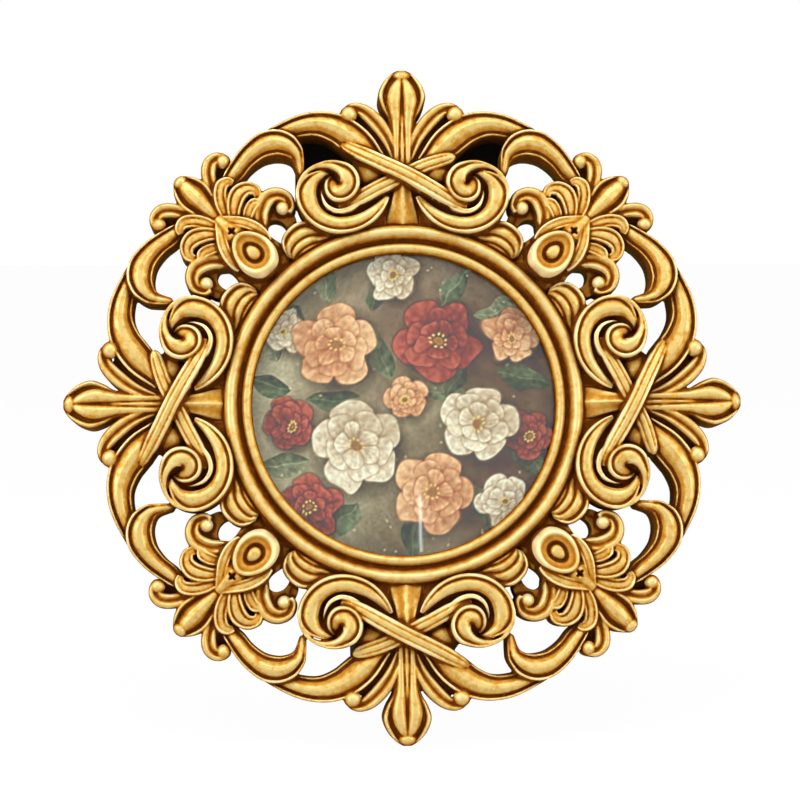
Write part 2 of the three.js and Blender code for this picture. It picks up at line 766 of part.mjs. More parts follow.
const hinge = new THREE.Group();
hinge.position.set(0, hingeY, hingeZ);
const rivetSeat = -LEAF_T / 2 - FIT;
const rivetEnd = legFront - FIT;
hinge.add(piece('hinge_fixed_leaf', fixedLeaf(), STEEL), piece('hinge_pin', hingePin(), STEEL));
fixedRivetPlaces.forEach(([x, y], i) => {
  const shape = rivet(rivetSeat, RIVET_HEAD_R, RIVET_HEAD_T, RIVET_R, rivetEnd);
  hinge.add(placed([x, y - hingeY], piece(`hinge_rivet_${i + 1}`, shape, STEEL)));
});

const leg = new THREE.Group();
leg.rotation.x = LEG_OPEN;
leg.add(piece('hinge_moving_leaf', movingLeaf(), STEEL), piece('easel_leg', easelLeg(), FLOCK));
legRivetPlaces.forEach((place, i) => {
  const shape = rivet(rivetSeat, RIVET_HEAD_R, RIVET_HEAD_T, RIVET_R, rivetEnd);
  leg.add(placed(place, piece(`leg_rivet_${i + 1}`, shape, STEEL)));
});
hinge.add(leg);
face.add(hinge);

// Stand it on the floor, centred on its own box
const photoFrame = new THREE.Group();
photoFrame.add(face);
photoFrame.updateMatrixWorld(true);
const bounds = new THREE.Box3().setFromObject(face, true);
const centre = bounds.getCenter(new THREE.Vector3());
face.position.set(-centre.x, -centre.y, -bounds.min.z);
photoFrame.updateMatrixWorld(true);

export default photoFrame;
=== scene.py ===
# %% [markdown]
# # A gilt resin photo frame
# The real frame is one casting in resin, painted antique gold: a moulded ring that holds a round print
# under glass, and an openwork wreath of scrolls, volutes, ribbons and trumpet flowers round it. Behind it
# are black flocked boards, an easel leg on a hinge and a sawtooth hanger.
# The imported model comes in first, because every piece here sits where that model says.

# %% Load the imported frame
import json
import math

import bpy
import bmesh
import numpy as np
from mathutils import Matrix, Vector


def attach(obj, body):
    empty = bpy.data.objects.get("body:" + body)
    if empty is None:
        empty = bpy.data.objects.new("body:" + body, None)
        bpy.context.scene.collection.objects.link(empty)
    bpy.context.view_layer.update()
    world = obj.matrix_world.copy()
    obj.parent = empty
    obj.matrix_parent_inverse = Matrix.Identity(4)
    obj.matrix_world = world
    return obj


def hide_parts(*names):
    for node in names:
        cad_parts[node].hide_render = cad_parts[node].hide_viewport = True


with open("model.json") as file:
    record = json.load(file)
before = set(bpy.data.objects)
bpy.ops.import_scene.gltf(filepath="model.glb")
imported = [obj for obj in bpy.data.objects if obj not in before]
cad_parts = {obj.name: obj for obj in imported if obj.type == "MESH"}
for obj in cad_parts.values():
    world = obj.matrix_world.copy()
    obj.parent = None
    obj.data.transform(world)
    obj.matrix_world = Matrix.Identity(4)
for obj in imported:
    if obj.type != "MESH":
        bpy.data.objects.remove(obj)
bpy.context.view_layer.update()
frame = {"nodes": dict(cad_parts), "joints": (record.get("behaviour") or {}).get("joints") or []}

print("packed nodes:", len(frame["nodes"]))

# %% [markdown]
# ## The plane of the face
# A frame is drawn most easily lying flat: X to the right, Y up the face, Z out of the front, in
# millimetres, with the back of the casting at Z = 0. One matrix then stands it up: it leans back 12
# degrees, and its place comes from the hinge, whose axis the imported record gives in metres.

# %% Face plane and first helpers
MM = 0.001
LEAN = math.radians(12)
RING_R = 59.0  # outer edge of the moulded ring
HINGE_AT = Vector((0, 62.0, -4.05))  # hinge axis on the face plane

joints = {joint["name"]: joint for joint in frame["joints"]}
stand_up = Matrix.Rotation(math.pi / 2 - LEAN, 4, "X") @ Matrix.Scale(MM, 4)
face_place = Matrix.Translation(joints["leg_fold"]["pos_m"]) @ stand_up @ Matrix.Translation(-HINGE_AT)
face_normal = (face_place.to_3x3() @ Vector((0, 0, 1))).normalized()
print("face centre, m:", [round(x, 4) for x in face_place.translation])


def feed(node, inputs):
    """Sets a node's inputs, each to a value or to the socket or node that feeds it."""
    for key, value in inputs.items():
        if isinstance(value, bpy.types.Node):
            value = value.outputs[0]
        if isinstance(value, bpy.types.NodeSocket):
            node.id_data.links.new(value, node.inputs[key])
        else:
            node.inputs[key].default_value = value


def add(tree, kind, inputs={}, stops=(), **settings):
    """Adds one node with its settings and inputs; stops are a colour ramp's rows of (place, hex colour)."""
    node = tree.nodes.new(kind)
    for name, value in settings.items():
        setattr(node, name, value)
    for i, (spot, code) in enumerate(stops):
        elements = node.color_ramp.elements
        element = elements[i] if i < len(elements) else elements.new(spot)
        element.position = spot
        element.color = tint(code)
    feed(node, inputs)
    return node


def flat_object(name, points, edges=(), faces=()):
    """A new mesh object from plain lists."""
    mesh = bpy.data.meshes.new(name)
    mesh.from_pydata(points, edges, faces)
    made = bpy.data.objects.new(name, mesh)
    bpy.context.scene.collection.objects.link(made)
    return made


def store(mesh, name, values, domain="POINT"):
    """Keeps one number or one vector for each point, or each face corner, of a mesh."""
    values = np.asarray(values, np.float32)
    kind, field = ("FLOAT", "value") if values.ndim == 1 else ("FLOAT_VECTOR", "vector")
    mesh.attributes.new(name, kind, domain).data.foreach_set(field, values.ravel())


def evaluated(source):
    """The object's mesh with its modifiers applied, as a plain mesh; the object itself is removed."""
    graph = bpy.context.evaluated_depsgraph_get()
    mesh = bpy.data.meshes.new_from_object(source.evaluated_get(graph))
    old = source.data
    bpy.data.objects.remove(source)
    bpy.data.meshes.remove(old)
    return mesh


# %% [markdown]
# ## Colours
# Colours are written as they look on screen, as a paint chart gives them, and one function turns them to the
# linear light that a renderer works in. Patterns are given by the size of their cells in millimetres.

# %% Colour helpers
def screen(code):
    """A hex colour as it looks on screen, three numbers from 0 to 1."""
    return np.array([int(code[i:i + 2], 16) / 255 for i in (1, 3, 5)])


def linear(values):
    """Screen values as linear light."""
    return np.where(values <= 0.04045, values / 12.92, ((values + 0.055) / 1.055) ** 2.4)


def tint(code):
    """A hex colour as linear RGBA."""
    return (*linear(screen(code)).tolist(), 1.0)


def finish_tree(name):
    """A new material with its node tree and its shader."""
    material = bpy.data.materials.new(name)
    material.use_nodes = True
    tree = material.node_tree
    return material, tree, tree.nodes["Principled BSDF"]


def cell(size_mm):
    """The scale of a pattern whose cells have this size."""
    return 1 / (size_mm * MM)


print("mid grey in linear light:", round(tint("#808080")[0], 3))

# %% [markdown]
# ## Antique gilt
# The skin is bronze-powder gold paint on cast resin, wiped with umber. Where the wash was rubbed away it is
# pale gold, which here is also a painted highlight on what stands proud. In the grooves it is a dull red
# brown, brown wash with painted shade in the deeper hollows, and low on the walls of the openings the olive
# undercoat shows under painted shade. A noise texture alone would put the brown anywhere, so three numbers on
# every corner of
# the casting say where: wash and shade, rub and highlight, and undercoat and wall shade. They are worked out
# below from the relief. Paint is never all metal, so the shader is not either, and a fine speckle keeps the
# highlights from looking like polished brass.

# %% Antique gilt on cast resin
BLOTCH_MM, SPECK_MM = 2.38, 0.556  # uneven wiping, and grains of bronze powder drawn coarse enough to show
COATS_AND_SHADE = ("wash_and_shade", "rub_and_highlight", "undercoat_and_wall_shade")
gilt, tree, shader = finish_tree("antique gilt on cast resin")
place = add(tree, "ShaderNodeTexCoord").outputs["Object"]
# Each corner's share of brown wash with painted shade, rubbed gold with painted highlight, and olive
# undercoat with painted shade
wash_and_shade, rub_and_highlight, undercoat_and_wall_shade = (
    add(tree, "ShaderNodeAttribute", attribute_name=name).outputs["Fac"] for name in COATS_AND_SHADE
)
blotch = add(
    tree, "ShaderNodeTexNoise", {"Vector": place, "Scale": cell(BLOTCH_MM), "Detail": 5.0, "Roughness": 0.65}
)
uneven = add(tree, "ShaderNodeMapRange", {"Value": blotch, 3: -0.9, 4: 0.9}, clamp=False)
# A thick wash covers evenly, so the blotches fade where the wash and the painted shade are deep
thin = add(tree, "ShaderNodeMapRange", {"Value": wash_and_shade, 1: 0.3, 2: 0.7, 3: 1.0, 4: 0.25})
uneven = add(tree, "ShaderNodeMath", {0: uneven, 1: thin}, operation="MULTIPLY")
wash_shade_and_blotch = add(tree, "ShaderNodeMath", {0: wash_and_shade, 1: uneven}, operation="ADD", use_clamp=True)
# Pale gold to dark brown, as the wash and the painted shade deepen
gold = add(tree, "ShaderNodeValToRGB", {"Fac": wash_shade_and_blotch}, [
    (0.0, "#BFA466"), (0.24, "#B48F47"), (0.48, "#AB782B"), (0.7, "#9C6420"), (1.0, "#5F2E0A"),
])
# Pale rubbed gold, also a painted highlight on what stands proud
rubbed_and_lit = add(tree, "ShaderNodeMix", {"Factor": rub_and_highlight, "A": gold, "B": tint("#F0E0AC")}, data_type="RGBA")
# The olive undercoat, with painted shade, low on the walls
share = add(tree, "ShaderNodeMath", {0: undercoat_and_wall_shade, 1: 0.85}, operation="MULTIPLY")
olive_over = {"Factor": share, "A": rubbed_and_lit.outputs["Result"], "B": tint("#6E5526")}
coats = add(tree, "ShaderNodeMix", olive_over, data_type="RGBA")
speck = add(tree, "ShaderNodeTexNoise", {"Vector": place, "Scale": cell(SPECK_MM), "Detail": 3.0})
feed(shader, {
    "Base Color": coats.outputs["Result"],
    "Specular IOR Level": 0.0,  # the binder is dead flat, all gloss is the powder's
    "Metallic": add(tree, "ShaderNodeMapRange", {"Value": wash_shade_and_blotch, 1: 0.15, 2: 0.55, 3: 0.4, 4: 0.0}),
    "Roughness": add(tree, "ShaderNodeMapRange", {"Value": wash_shade_and_blotch, 1: 0.0, 2: 0.8, 3: 0.4, 4: 0.7}),
    "Normal": add(tree, "ShaderNodeBump", {"Height": speck, "Strength": 0.15, "Distance": 0.0004}),
})
print("gilt nodes:", len(tree.nodes))

# %% [markdown]
# ## Relief bands
# A carver sees the wreath as bands: each scroll, leaf and ribbon runs along a path, wider here and
# narrower there, with the same moulded section all the way. That is a rule, so Geometry Nodes make it.
# The rail is a chain of points that carries half of the vector from its outer edge to its inner edge, and
# the height of its crown. The section is a closed chain that carries where each of its points goes: how
# far across, a fixed inset in from an edge, and the drop below the crown. Curve to Mesh gives the skin and
# its two caps, and Set Position then puts every point by the rule. Insets keep a rim as thin where the
# band is wide as where it tapers, which no plain scaling of a profile would do.

# %% Tree helpers and the relief band tree
def new_tree(name, **inputs):
    """A Geometry Nodes tree with a geometry and these named inputs, and what those inputs give."""
    tree = bpy.data.node_groups.new(name, "GeometryNodeTree")
    for label, kind in ({"Geometry": "Geometry"} | inputs).items():
        tree.interface.new_socket(label.replace("_", " "), in_out="INPUT", socket_type="NodeSocket" + kind)
    tree.interface.new_socket("Geometry", in_out="OUTPUT", socket_type="NodeSocketGeometry")
    return tree, add(tree, "NodeGroupInput").outputs


def end_tree(tree, geometry, finish):
    """Ends a tree with real geometry, painted."""
    solid = add(tree, "GeometryNodeRealizeInstances", {"Geometry": geometry})
    painted = add(tree, "GeometryNodeSetMaterial", {"Geometry": solid, "Material": finish})
    add(tree, "NodeGroupOutput", {"Geometry": painted})
    return tree


def grown(made, tree, **values):
    """The mesh that a tree makes of an object; each input is set by its socket's identifier."""
    growth = made.modifiers.new(tree.name, "NODES")
    growth.node_group = tree
    for item in tree.interface.items_tree:
        label = item.name.replace(" ", "_")
        if item.in_out == "INPUT" and label in values:
            growth[item.identifier] = values[label]
    return evaluated(made)


def relief_band_tree():
    """Lays a section along a rail and puts every point where the numbers on both say."""
    tree, given = new_tree("relief band", Section="Object", Full_Half_Width="Float", Finish="Material")
    rail = add(tree, "GeometryNodeMeshToCurve", {"Mesh": given["Geometry"]})
    here = add(tree, "GeometryNodeInputPosition")
    kept = add(
        tree, "GeometryNodeStoreNamedAttribute", {"Geometry": rail, "Name": "middle", "Value": here},
        data_type="FLOAT_VECTOR", domain="POINT",
    )
    shape = add(tree, "GeometryNodeObjectInfo", {"Object": given["Section"]})
    section = add(tree, "GeometryNodeMeshToCurve", {"Mesh": shape.outputs["Geometry"]})
    skin = add(tree, "GeometryNodeCurveToMesh", {"Curve": kept, "Profile Curve": section, "Fill Caps": True})

    kinds = dict.fromkeys(("middle", "half_span"), "FLOAT_VECTOR")
    kinds |= dict.fromkeys(("crown", "across", "inset", "drop", "raised"), "FLOAT")
    told = {
        name: add(tree, "GeometryNodeInputNamedAttribute", {"Name": name}, data_type=kind).outputs[0]
        for name, kind in kinds.items()
    }
    # Where a band is narrow, its insets and drops shrink with it
    width = add(tree, "ShaderNodeVectorMath", {0: told["half_span"]}, operation="LENGTH").outputs["Value"]
    share = add(tree, "ShaderNodeMath", {0: width, 1: given["Full Half Width"]}, operation="DIVIDE")
    ease = add(tree, "ShaderNodeMath", {0: share, 1: 1.0}, operation="MINIMUM")
    way = add(tree, "ShaderNodeVectorMath", {0: told["half_span"]}, operation="NORMALIZE")
    sideways = add(
        tree, "ShaderNodeVectorMath", {0: told["half_span"], "Scale": told["across"]}, operation="SCALE"
    )
    inset = add(tree, "ShaderNodeMath", {0: told["inset"], 1: ease}, operation="MULTIPLY")
    inward = add(tree, "ShaderNodeVectorMath", {0: way, "Scale": inset}, operation="SCALE")
    drop = add(tree, "ShaderNodeMath", {0: told["drop"], 1: ease}, operation="MULTIPLY")
    height = add(tree, "ShaderNodeMath", {0: told["crown"], 1: drop}, operation="SUBTRACT")
    lifted = add(tree, "ShaderNodeMath", {0: height, 1: told["raised"]}, operation="MULTIPLY")
    spot = told["middle"]
    for step in (sideways, inward, add(tree, "ShaderNodeCombineXYZ", {"Z": lifted})):
        spot = add(tree, "ShaderNodeVectorMath", {0: spot, 1: step}, operation="ADD")
    moved = add(tree, "GeometryNodeSetPosition", {"Geometry": skin, "Position": spot})
    return end_tree(tree, moved, given["Finish"])


band_tree = relief_band_tree()
print("relief band nodes:", len(band_tree.nodes))

# %% [markdown]
# ## Sections
# A carver keeps a gouge for each kind of form, and here each kind has its own section. A row of it is
# [share across from -1 at the outer edge to 1 at the inner edge, inset in mm, drop in mm]. Scrolls have a
# thin bright rim, a groove, a broad belly and a second rim. Volutes have a broad rim, a narrow groove and a
# belly that falls away. Ribbons are three strands. Leaves and petals have a rim, and a hollow, ridges or a
# seed inside it. A section that is the same on both sides is given by its left half.

# %% Moulded sections
def even(rows):
    """A section that is the same on both sides; a row on the middle line stays single."""
    return rows + [[-across, -inset, drop] for across, inset, drop in rows[::-1] if across]


SECTIONS = {  # half width from which the section keeps its full depth, and its rows
    "scroll": (3.2, [
        [-1, 0, 2.4], [-1, 0.12, 1.2], [-1, 0.5, 0.7], [-1, 0.85, 1.0], [-1, 1.1, 2.5], [-1, 1.4, 2.6],
        [-1, 1.7, 1.7], [-0.4, 0, 0.6], [-0.1, 0, 0], [0.25, 0, 0.4], [0.6, 0, 1.6], [1, -1.4, 2.8],
        [1, -1.1, 3.2], [1, -0.85, 2.5], [1, -0.5, 1.9], [1, -0.12, 2.3], [1, 0, 3.2],
    ]),
    "volute": (2.9, [
        [-1, 0, 2.2], [-1, 0.2, 0.9], [-1, 0.65, 0.2], [-1, 1.1, 0.5], [-1, 1.35, 1.9], [-1, 1.6, 2.0],
        [-1, 1.8, 1.3], [-0.1, 0, 0.6], [0.3, 0, 0.4], [0.65, 0, 0.8], [0.9, 0, 1.7], [1, 0, 2.8],
    ]),
    "strands": (2.3, [
        [-1, 0, 2.4], [-0.94, 0, 1.1], [-0.8, 0, 0.5], [-0.64, 0, 0.5], [-0.54, 0, 0.9], [-0.48, 0, 1.2],
        [-0.42, 0, 0.7], [-0.25, 0, 0.15], [0.2, 0, 0.15], [0.38, 0, 0.7], [0.44, 0, 1.2],
        [0.5, 0, 0.9], [0.6, 0, 0.5], [0.78, 0, 0.5], [0.94, 0, 1.1], [1, 0, 2.4],
    ]),
    "spoon": (6.0, even([
        [-1, 0, 3.6], [-1, 0.35, 1.8], [-1, 0.9, 1.2], [-1, 1.5, 1.7], [-1, 2.0, 3.0], [-0.4, 0, 3.0],
    ])),
    "seed leaf": (5.0, even([
        [-1, 0, 2.8], [-1, 0.3, 1.4], [-1, 0.75, 0.8], [-1, 1.2, 1.2], [-1, 1.7, 2.8], [-0.58, 0, 2.6],
        [-0.48, 0, 1.2], [-0.28, 0, 0], [0, 0, -0.5],
    ])),
    "ridged leaf": (3.4, [
        [-1, 0, 2.6], [-1, 0.25, 1.2], [-1, 0.75, 0.5], [-1, 1.25, 1.0], [-1, 1.6, 2.2], [-0.4, 0, 1.0],
        [-0.2, 0, 0.6], [0, 0, 1.0], [0.12, 0, 2.0], [0.26, 0, 1.3], [0.45, 0, 1.0], [0.6, 0, 1.5],
        [0.7, 0, 2.6], [0.84, 0, 2.0], [1, 0, 3.0],
    ]),
    "petal": (2.4, [
        [-1, 0, 2.6], [-1, 0.2, 1.1], [-1, 0.6, 0.4], [-1, 1.0, 0.8], [-1, 1.25, 1.7], [-0.3, 0, 1.1],
        [0.2, 0, 1.0], [1, -1.25, 1.6], [1, -1.0, 0.8], [1, -0.6, 0.4], [1, -0.2, 1.1], [1, 0, 2.6],
    ]),
    "rolled": (1.8, [
        [-1, 0, 2.2], [-0.93, 0, 1.1], [-0.7, 0, 0.4], [-0.4, 0, 0.3], [-0.15, 0, 0.9], [0.1, 0, 1.5],
        [0.35, 0, 1.2], [0.65, 0, 0.6], [0.9, 0, 1.3], [1, 0, 2.4],
    ]),
    "dome": (3.0, even([[-1, 0, 3.0], [-0.95, 0, 2.0], [-0.75, 0, 1.0], [-0.4, 0, 0.2], [0, 0, 0]])),
    "kite": (3.0, even([[-1, 0, 2.6], [-0.9, 0, 1.7], [-0.5, 0, 1.2], [0, 0, 0]])),
}
section_objects = {}
for label, (full_half, rows) in SECTIONS.items():
    rows = [[-1, 0, 0]] + rows + [[1, 0, 0]]
    loop = [(i, (i + 1) % len(rows)) for i in range(len(rows))]
    shape = flat_object("section " + label, [(row[0], row[2], 0) for row in rows], loop)
    for column, field in enumerate(("across", "inset", "drop")):
        store(shape.data, field, [row[column] for row in rows])
    store(shape.data, "raised", [0] + [1] * (len(rows) - 2) + [0])
    section_objects[label] = shape
print("sections:", ", ".join(section_objects))

# %% [markdown]
# ## Rails
# The paths were read off the real frame as a few stations in millimetres, with Y counted from the ring's
# outer edge. A smooth curve through the stations fills in the rest. Whichever way a path is easiest to
# measure, each rail ends as rows of [outer x, outer y, inner x, inner y, crown height].

# %% Rails from stations
def through(rows, steps_each=10):
    """A smooth chain through rows of numbers."""
    rows = np.asarray(rows, float)
    padded = np.vstack([rows[:1], rows, rows[-1:]])
    t = np.linspace(0, 1, steps_each, endpoint=False)[:, None]
    chain = []
    for before, a, b, after in zip(padded, padded[1:], padded[2:], padded[3:]):
        slope_in, slope_out = (b - before) / 2, (after - a) / 2
        bend = 3 * (b - a) - 2 * slope_in - slope_out
        twist = slope_in + slope_out - 2 * (b - a)
        chain.append(a + t * (slope_in + t * (bend + t * twist)))
    return np.vstack(chain + [rows[-1:]])


def centred(rows):
    """Rows of [half width, y, crown], even about the middle line."""
    half, y, crown = through(rows).T
    return np.column_stack([-half, y, half, y, crown])


def strap(rows):
    """Rows of [x, y, width, crown] on the centre line."""
    x, y, width, crown = through(rows).T
    dx, dy = np.gradient(x), np.gradient(y)
    reach = width / 2 / np.hypot(dx, dy)
    return np.column_stack([x - dy * reach, y + dx * reach, x + dy * reach, y - dx * reach, crown])


def coiled(rows, eye):
    """Rows of [angle about the eye in degrees, outer radius, inner radius, crown]."""
    angle, outer, inner, crown = through(rows).T
    c, s = np.cos(np.radians(angle)), np.sin(np.radians(angle))
    edges = [eye[axis] + radius * way for radius in (outer, inner) for axis, way in enumerate((c, s))]
    return np.column_stack(edges + [crown])


def flipped(chain):
    """The same rail on the other side of the middle line."""
    return chain * np.array([-1, 1, -1, 1, 1])


def band(chain, label):
    """One relief band standing on the back plane, as a mesh."""
    outer, inner = chain[:, 0:2], chain[:, 2:4]
    n = len(chain)
    middle = np.column_stack([(outer + inner) / 2 + [0, RING_R], np.zeros(n)])
    rail = flat_object("rail", middle.tolist(), [(i, i + 1) for i in range(n - 1)])
    store(rail.data, "half_span", np.column_stack([(inner - outer) / 2, np.zeros(n)]))
    store(rail.data, "crown", chain[:, 4])
    full_half = SECTIONS[label][0]
    return grown(rail, band_tree, Section=section_objects[label], Full_Half_Width=full_half, Finish=gilt)


print("points through 3 stations:", len(through([[0], [1], [2]])))

# %% [markdown]
# ## Other carved forms
# Curls end in small balls, the floor between the volutes is a plain slab, and the trumpet flower is a stack
# of ovals: up the outside, over the lip, down into the hollow and up again over the eye.

# %% Balls, slabs and ovals
def between(rings, around):
    """The faces between rings of points that follow each other in a list."""
    ids = np.arange(rings * around).reshape(rings, around)
    after = np.roll(ids, -1, axis=1)
    return np.stack([ids[:-1], after[:-1], after[1:], ids[1:]], axis=-1).reshape(-1, 4).tolist()


def stacked(rings):
    """Points and faces of a closed solid from rings of equally many points, from its back to its front."""
    around = len(rings[0])
    points = [point for ring in rings for point in ring]
    front = list(range(len(points) - around, len(points)))
    return points, between(len(rings), around) + [list(range(around))[::-1], front]


def plain_mesh(name, points, faces):
    """A mesh that belongs to no object yet."""
    mesh = bpy.data.meshes.new(name)
    mesh.from_pydata(points, [], faces)
    return mesh


def ball(x, y, z, rx, ry, rz):
    """A small egg, with Y counted from the ring's edge."""
    shell = bmesh.new()
    place = Matrix.Translation((x, y + RING_R, z)) @ Matrix.Diagonal((rx, ry, rz, 1))
    bmesh.ops.create_icosphere(shell, subdivisions=3, radius=1, matrix=place)
    mesh = bpy.data.meshes.new("ball")
    shell.to_mesh(mesh)
    shell.free()
    return mesh


def slab(outline, top):
    """A flat plate from the back plane up to a height."""
    return plain_mesh("slab", *stacked([[(x, y + RING_R, z) for x, y in outline] for z in (0, top)]))


EGG = 0.14  # how much blunter the ring end of an oval is


def ovals(rows, around=72):
    """A stack of egg ovals: rows of [half length, half width, centre y, z]."""
    turns = [(math.cos(a), math.sin(a)) for a in np.linspace(0, 2 * math.pi, around, endpoint=False)]
    return plain_mesh("ovals", *stacked([
        [(wide * s * (1 - EGG * c), y + RING_R + long * c, z) for c, s in turns]
        for long, wide, y, z in through(rows, 5)
    ]))


print("faces between 2 rings of 4 points:", len(between(2, 4)))

# %% [markdown]
# ## Casting the forms into one skin
# On the real frame all of these run into each other, because they came out of one mould. A voxel remesh
# does the same: it keeps only the outside of everything that overlaps. A Boolean union would too, but it
# leaves sharp seams. A little smoothing then rounds the creases as thick paint does, and thinning takes away
# the triangles that a flat place doesn't need.

# %% Cast
VOXEL = 0.3


def points_of(mesh):
    """A mesh's points as rows of x, y, z."""
    flat = np.empty(len(mesh.vertices) * 3)
    mesh.vertices.foreach_get("co", flat)
    return flat.reshape(-1, 3)


def merged(meshes):
    """Several meshes as one, in the first of them; the others are removed."""
    lump = bmesh.new()
    for mesh in meshes:
        lump.from_mesh(mesh)
    lump.to_mesh(meshes[0])
    lump.free()
    for mesh in meshes[1:]:
        bpy.data.meshes.remove(mesh)
    return meshes[0]


def cast(name, meshes, triangles):
    """One closed skin round all these forms, thinned where it is flat, and its points before that."""
    joined = flat_object(name, [])
    joined.data = merged(meshes)
    fuse = joined.modifiers.new("fuse", "REMESH")
    fuse.mode = "VOXEL"
    fuse.voxel_size = VOXEL
    soften = joined.modifiers.new("soften", "SMOOTH")
    soften.factor = 0.5
    soften.iterations = 2
    skin = flat_object(name, [])
    skin.data = evaluated(joined)
    dense = points_of(skin.data)
    thin = skin.modifiers.new("thin", "DECIMATE")
    thin.ratio = min(1, triangles / (2 * len(skin.data.polygons)))
    return evaluated(skin), dense


def put_points(mesh, points):
    """Moves a mesh's points."""
    mesh.vertices.foreach_set("co", np.ascontiguousarray(points, np.float32).ravel())
    mesh.update()


print("voxel, mm:", VOXEL)

# %% [markdown]
# ## The crest
# The same crest stands at the top, left, bottom and right of the ring. From the ring outwards it has a bell
# between two volutes, two ribbons that cross over them, then a finial leaf with a curl on each side, and
# two scrolls each side that reach out to the corners. A volute is an arm whose rim runs on over the top into
# a bulb, and the finial is a spoon with two lobes and a thin strip in it. Carving it once and turning copies
# of it is what the mould maker did too.

# %% Crest paths
# Rows are as each path's rail function says, floors are outlines of [x, y], and all is in mm
UPPER_SCROLL = [
    [5, 20, 9, 17.5, 13], [9.5, 27, 16.5, 20.5, 14.5], [14.5, 31.5, 20, 23, 15], [20.3, 34.4, 23, 25.3, 15],
    [27, 35.2, 27.7, 27.2, 15], [34.5, 33.8, 33, 26.9, 14.5], [43, 29.6, 39.5, 25, 13.5],
    [49.6, 25, 45.5, 21.2, 12.6], [54, 20.6, 50.4, 17, 11.6],
]
LOWER_SCROLL = [
    [31.5, 13.5, 33.8, 14.8, 14], [31.6, 20, 35, 18.3, 15], [32.2, 23.3, 36.2, 19.8, 16],
    [34.9, 26.9, 38.5, 20.6, 16.5], [39.7, 28.9, 41, 20.7, 16.5], [45.3, 28.2, 44.7, 19.7, 16],
    [50.6, 24.4, 48.5, 16.9, 15], [54.6, 19.6, 51.2, 13.6, 14], [57.2, 15.2, 54, 11, 13],
    [58.6, 11.6, 55.8, 8.6, 12],
]
RING_LEAF = [
    [20, -1, 19, -4.5, 10.5], [24.5, -0.6, 22.5, -6.5, 11.5], [28, -0.4, 25.5, -8, 12.5],
    [31, -0.2, 27.5, -8.5, 13.5], [34, -0.8, 29.5, -9.5, 14], [37, -3, 31.3, -10.6, 14],
    [38.8, -5.8, 32.6, -11.6, 13.5], [38.8, -8.7, 33.6, -12.4, 13], [37.2, -11.6, 34.3, -13, 11.5],
]
EYE = (20.6, 10.4)  # the volute's angles are counted about it
VOLUTE = [
    [190, 16.7, 14.8, 13], [214, 16.1, 12, 15], [244, 15.6, 10.2, 15.7], [275, 15.2, 9.5, 16],
    [306, 14.9, 8.8, 16], [336, 14.4, 7.6, 16], [356, 13.6, 6.9, 16], [372, 11.9, 6.3, 16],
    [387, 9.6, 5.8, 16], [401, 7.8, 5.4, 15.6], [412, 6.5, 5.2, 14.6], [420, 5.7, 5.1, 13],
]
BULB_EYE = (20.2, 11.4)  # and the bulb's about this
BULB = [
    [340, 14.8, 13.7, 15.8], [352, 14.1, 13, 15.9], [367, 12.9, 11.7, 15.9], [381, 11.5, 10.2, 16],
    [394, 10.2, 8.4, 16.3], [406, 9.1, 6.6, 16.8], [420, 8.2, 4.8, 17.4], [436, 7.4, 3, 17.9],
    [454, 6.9, 1.4, 18.3], [475, 6.7, 0.3, 18.5], [520, 6.5, 0.2, 18.5], [570, 6.4, 0.2, 18.2],
    [620, 6.4, 0.2, 17.6], [660, 6.1, 0.2, 17], [700, 5.2, 0.2, 16], [735, 4.6, 0.2, 15],
    [765, 4.2, 0.2, 13.6],
]
RIDGE = [
    [13, 6, 1.2, 15.2], [17, 3.2, 1.5, 15.6], [21, 2.4, 1.4, 15.6], [24.3, 4.2, 1.1, 15.2],
    [25.8, 7.4, 0.6, 14], [26, 10, 0.2, 12],
]
CREST_FLOOR = [[13, -2], [24, -2], [29, 4], [30, 10], [26, 14], [17, 17], [14, 21], [5, 25]]
FAN_FLOOR = [[9, 17], [15, 24], [18, 31.5], [16.5, 33.5], [11, 33], [7, 31], [3.5, 32]]
FINIAL = [
    [2.5, 17, 13], [3, 25, 13.5], [4.5, 32.5, 14], [6.6, 36.5, 14.5], [7.7, 40.5, 15], [6.2, 44.8, 14.5],
    [3.4, 47.8, 13], [1.2, 49.1, 11.5],
]
FINIAL_LOBE = [
    [2.5, 17, 1.2, 17, 13.2], [2.8, 25, 1, 25, 13.7], [3.2, 31, 0.7, 31, 14.2], [4.2, 35, 0.4, 35, 14.8],
    [4.9, 38.5, 0.2, 38.5, 15.2], [4.2, 42, 0, 42, 15], [2.7, 44.6, -0.2, 44.6, 14.3],
    [1.4, 46, -0.2, 46, 13.4],
]
FINIAL_STRIP = [[0.5, 17, 13], [0.45, 26, 13.5], [0.3, 33, 13.6], [0.1, 38.5, 13]]
BELL = [[5.4, -1.5, 12], [4.8, 2, 13], [3.6, 6, 14.2], [2.4, 11, 15]]
RIBBON = [
    [-19.5, 24.6, 1.6, 13.4], [-17.5, 23.4, 3.6, 15], [-13, 21, 4.8, 16.6], [-8, 18.4, 5, 18],
    [0.6, 14.2, 5, 19], [8, 10.2, 5, 18.6], [13.5, 7, 4.6, 17.6], [17.5, 4.9, 3.4, 16],
    [20.5, 3.8, 1.6, 14.6],
]
LOWER_RIBBON = [
    [-17, 20.4, 1, 14], [-15.5, 19.9, 3.4, 14.8], [-12, 18.9, 4.6, 15.2], [-7, 17.2, 4.8, 15.6],
    [0.6, 13.6, 4.8, 16], [8, 10, 4.8, 16], [13.5, 7, 4.6, 15.8], [17.5, 4.9, 3.4, 15],
    [20.5, 3.8, 1.6, 14],
]
